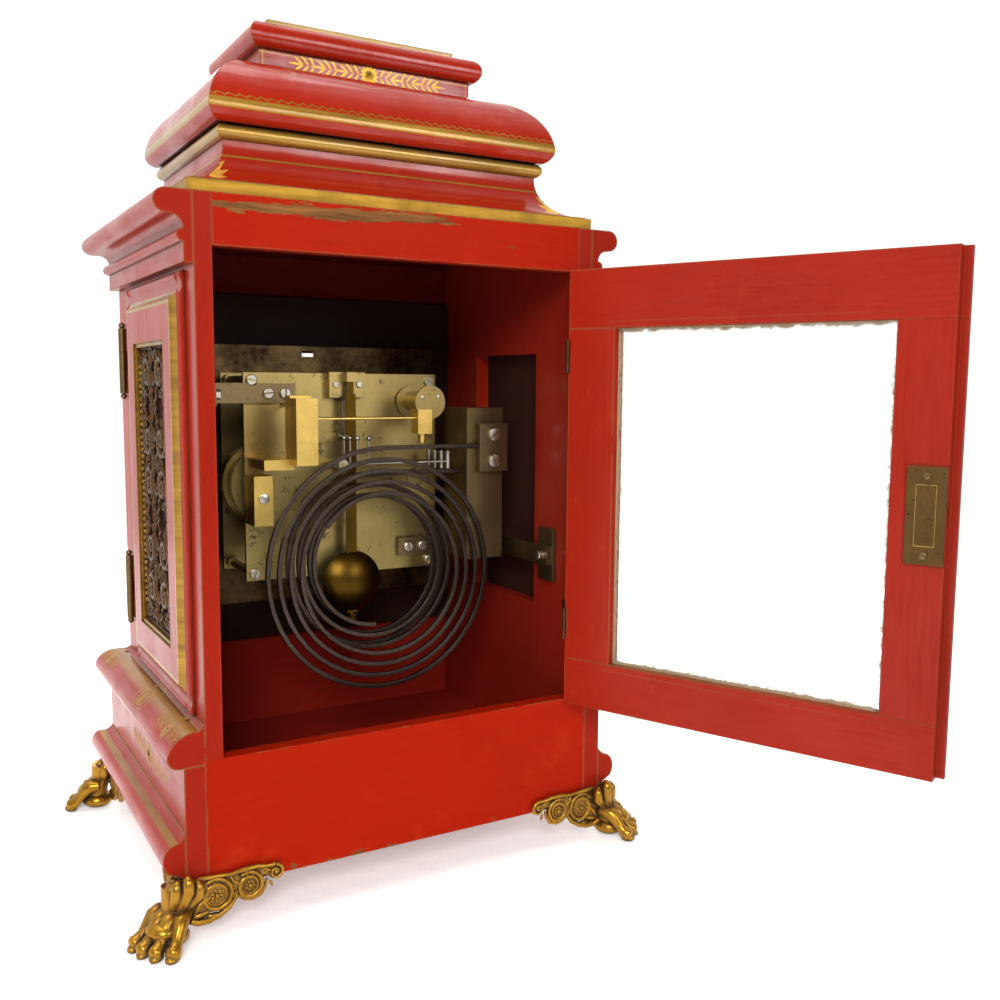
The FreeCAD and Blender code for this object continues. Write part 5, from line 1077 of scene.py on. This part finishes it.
def scroll_arm(mesh, carry):
    """The pierced scroll that runs from the corner along one face of the plinth."""
    def spot(a, z, out):
        return carry @ Vector((a, out, z))

    def disc(a, z, wide, high, thick):
        lump(mesh, spot(a, z, 1.6), (wide, thick, high), aim(spot, 0), 18, 9)

    def wire(points, radii, out=3.2, sides=8):
        tube(mesh, [spot(a, z, out) for a, z in points], radii, sides)

    def leaf(a, z, long, wide, angle, out=3.0):
        lump(mesh, spot(*polar((a, z), 0.5 * long, angle), out), (long * 0.58, wide, wide * 0.9),
             aim(spot, angle), 8, 6)

    for ground in (
            (19.2, 29.5, 12.6, 12.6, 2.4), (42.4, 31.2, 10.4, 10.4, 2.2), (8, 29, 11, 15, 2.2),
            (31.5, 33.5, 8, 8.5, 2.0), (54, 38.5, 8.5, 4.0, 1.8), (61.5, 36.5, 5.6, 5.6, 1.8)):
        disc(*ground)
    for a, z, radius, begin in ((19.2, 29.5, 12.4, 2.3), (42.4, 31.2, 10.2, 2.2)):
        winding = curl((a, z), radius, radius * 0.58, 1.35, begin, -1, 22)
        count = len(winding)
        shares = [min(1, 0.15 + 0.85 * i / count) for i in range(count)]
        wire(winding, [0.6 + 1.25 * math.sin(math.pi * share) for share in shares], 3.6)
        ring = curl((a, z), radius * 0.56, radius * 0.56, 1.0, 0, 1, 20)
        wire(ring, 0.75, 3.8, 6)
        for k in range(7):
            angle = k * math.tau / 7
            leaf(*polar((a, z), 1.2, angle), radius * 0.30, 1.3, angle, 3.8)
        lump(mesh, spot(a, z, 4.6), (1.7, 1.7, 1.7), None, 8, 6)
        for k in range(12):
            bead = polar((a, z), radius * 0.78, k * math.tau / 12 + 0.2)
            lump(mesh, spot(*bead, 3.4), (1.0, 1.0, 0.9), None, 6, 5)
    stems = [
        # along, high and radius at each point: the rail on top, then the two bows below
        [(2, 42, 1.4), (9, 43.5, 1.9), (19, 43.2, 1.6), (30, 42.2, 1.3), (39, 43.4, 1.9),
         (48, 43.6, 1.8), (56, 42.2, 1.5), (61, 42.4, 1.3)],
        [(1, 15, 2.2), (6, 12.8, 2.6), (13, 12.6, 2.5), (21, 14.8, 2.2), (28, 19, 1.9),
         (32.5, 24.5, 1.5), (33.5, 29, 0.9)],
        [(33, 26, 0.9), (38, 22.5, 1.6), (44, 21.2, 1.8), (50, 23, 1.7), (53.5, 28, 1.4),
         (55, 33, 1.0)],
    ]
    for stem in stems:
        wire([(a, z) for a, z, _ in stem], [thick for _, _, thick in stem])
    end = curl((61.5, 36.6), 5.8, 1.6, 1.3, math.pi / 2, -1, 18)
    wire(end, [1.4 - 0.5 * i / len(end) for i in range(len(end))], 3.8)
    lump(mesh, spot(61.5, 36.6, 4.0), (1.7, 1.7, 1.7), None, 8, 6)
    for blade in (
            (3, 19, 12, 2.4, 0.95), (4, 24, 13, 2.2, 0.45), (3, 30, 12, 2.2, 0.15),
            (3, 35, 11, 2.0, 0.35), (2, 17, 13, 2.3, 0.2), (6, 38, 9, 1.9, -0.35),
            (12, 16, 11, 2.0, -0.1), (29, 41, 8, 1.7, -1.1), (31, 37, 8, 1.6, -0.7),
            (30.5, 31, 7, 1.5, -1.3), (52, 41, 8, 1.5, -0.4), (50, 37, 7, 1.3, 0.2),
            (22, 15, 9, 1.7, 0.5), (57, 31, 5, 1.2, -1.2)):
        leaf(*blade)


def cast_feet():
    """Four feet, each drawn at its own corner of the plinth and cut off level with the floor."""
    for name, back in (("paw_feet_back", 1), ("paw_feet_front", -1)):
        mesh = bmesh.new()
        corner_y = PLINTH_BACK if back > 0 else PLINTH_FRONT
        tip = Vector((32, 14.7 if back > 0 else 22.9, 0))
        away = (tip - Vector((-14, -18, 0))).normalized()
        heights = (43.5, 43.5, 47, 50.5, 45) if back > 0 else (43.5,) * 5
        tops = [(math.radians(a), top) for a, top in zip((-42, 3, 42, 84, 126), heights)]
        for side in (-1, 1):
            foot = bmesh.new()
            paw(foot, tip, away, tops)
            scroll_arm(foot, Matrix.Diagonal((-1, 1, 1, 1)))
            scroll_arm(foot, Matrix.Rotation(-math.pi / 2, 4, "Z"))
            place = shifted((side * PLINTH_X, back * corner_y, 0)) @ Matrix.Diagonal((side, back, 1, 1))
            bmesh.ops.transform(foot, matrix=place, verts=foot.verts)
            join(mesh, foot)
        bmesh.ops.bisect_plane(
            mesh, geom=mesh.verts[:] + mesh.edges[:] + mesh.faces[:], plane_co=(0, 0, 0.00001),
            plane_no=(0, 0, 1), clear_inner=True)
        piece(f"cast_{name}", mesh, "case", "gilt_brass", [name], smooth=60)


# ---- gilt ornament

def lay_sprays():
    """The gold leaf ornament on the top, and the faded one on the sides."""
    acanthus = ((13, 3.2, 4), (17, 3.8, 24), (20, 4.2, 44), (19, 4.0, 64), (16, 3.4, 84))
    mesh = bmesh.new()
    for back in (1, -1):
        face = (0, -back, 0)
        gild(mesh, "top_neck", (0, back * 48, 617), face, spray_leaves(62, 11, 3))
        for side in (-1, 1):
            outwards = Vector(face).cross(Z).x * side > 0
            leaves = [
                (0, 0, long, wide, math.radians(180 - lean if outwards else lean))
                for long, wide, lean in acanthus]
            gild(mesh, "top_cove", (side * 140, back * 110, 518.5), face, leaves)
    piece("top_gilt_sprays", mesh, "case", "leaf_gold")
    mesh = bmesh.new()
    for side in (1, -1):
        face = (-side, 0, 0)
        medallion = oval_leaves(15, 7, 26) + oval_leaves(9, 3.6, 16) + spray_leaves(0, 7, 0)
        gild(mesh, "base_upper_moulding", (side * 181, 14, 142), face, medallion)
        for at in (-118, 96):
            gild(mesh, "base_upper_moulding", (side * 181, at, 142), face, spray_leaves(26, 9, 2))
        gild(mesh, "plinth_boards", (side * PLINTH_X, 14, 97), face, spray_leaves(60, 15, 3))
    piece("side_gilt_sprays", mesh, "case", "faded_gold")


finish_case()
finish_metalwork()
front_numerals()
screws()
lock_engraving()
wind_gongs()
make_frets()
cast_feet()
lay_sprays()


# ---- floor

def lay_floor():
    """A pale cloth that shines a little, so that it melts into the room."""
    half = 1.7
    mesh = bmesh.new()
    bmesh.ops.create_grid(mesh, x_segments=1, y_segments=1, size=half)
    data = as_data("floor", mesh)
    f = Finish("floor_cloth")
    shown = f.mix(f.noise(6, 4, 0.6), (0.88, 0.875, 0.86), (0.95, 0.945, 0.94))
    data.materials.append(f.set(
        Base_Color=shown, Roughness=0.95, Emission_Color=(1.0, 0.99, 0.98), Emission_Strength=0.35,
        Normal=f.bump(f.noise(9, 5, 0.6), 4)))
    put("floor", data)


lay_floor()
bpy.context.scene.view_settings.view_transform = "Standard"
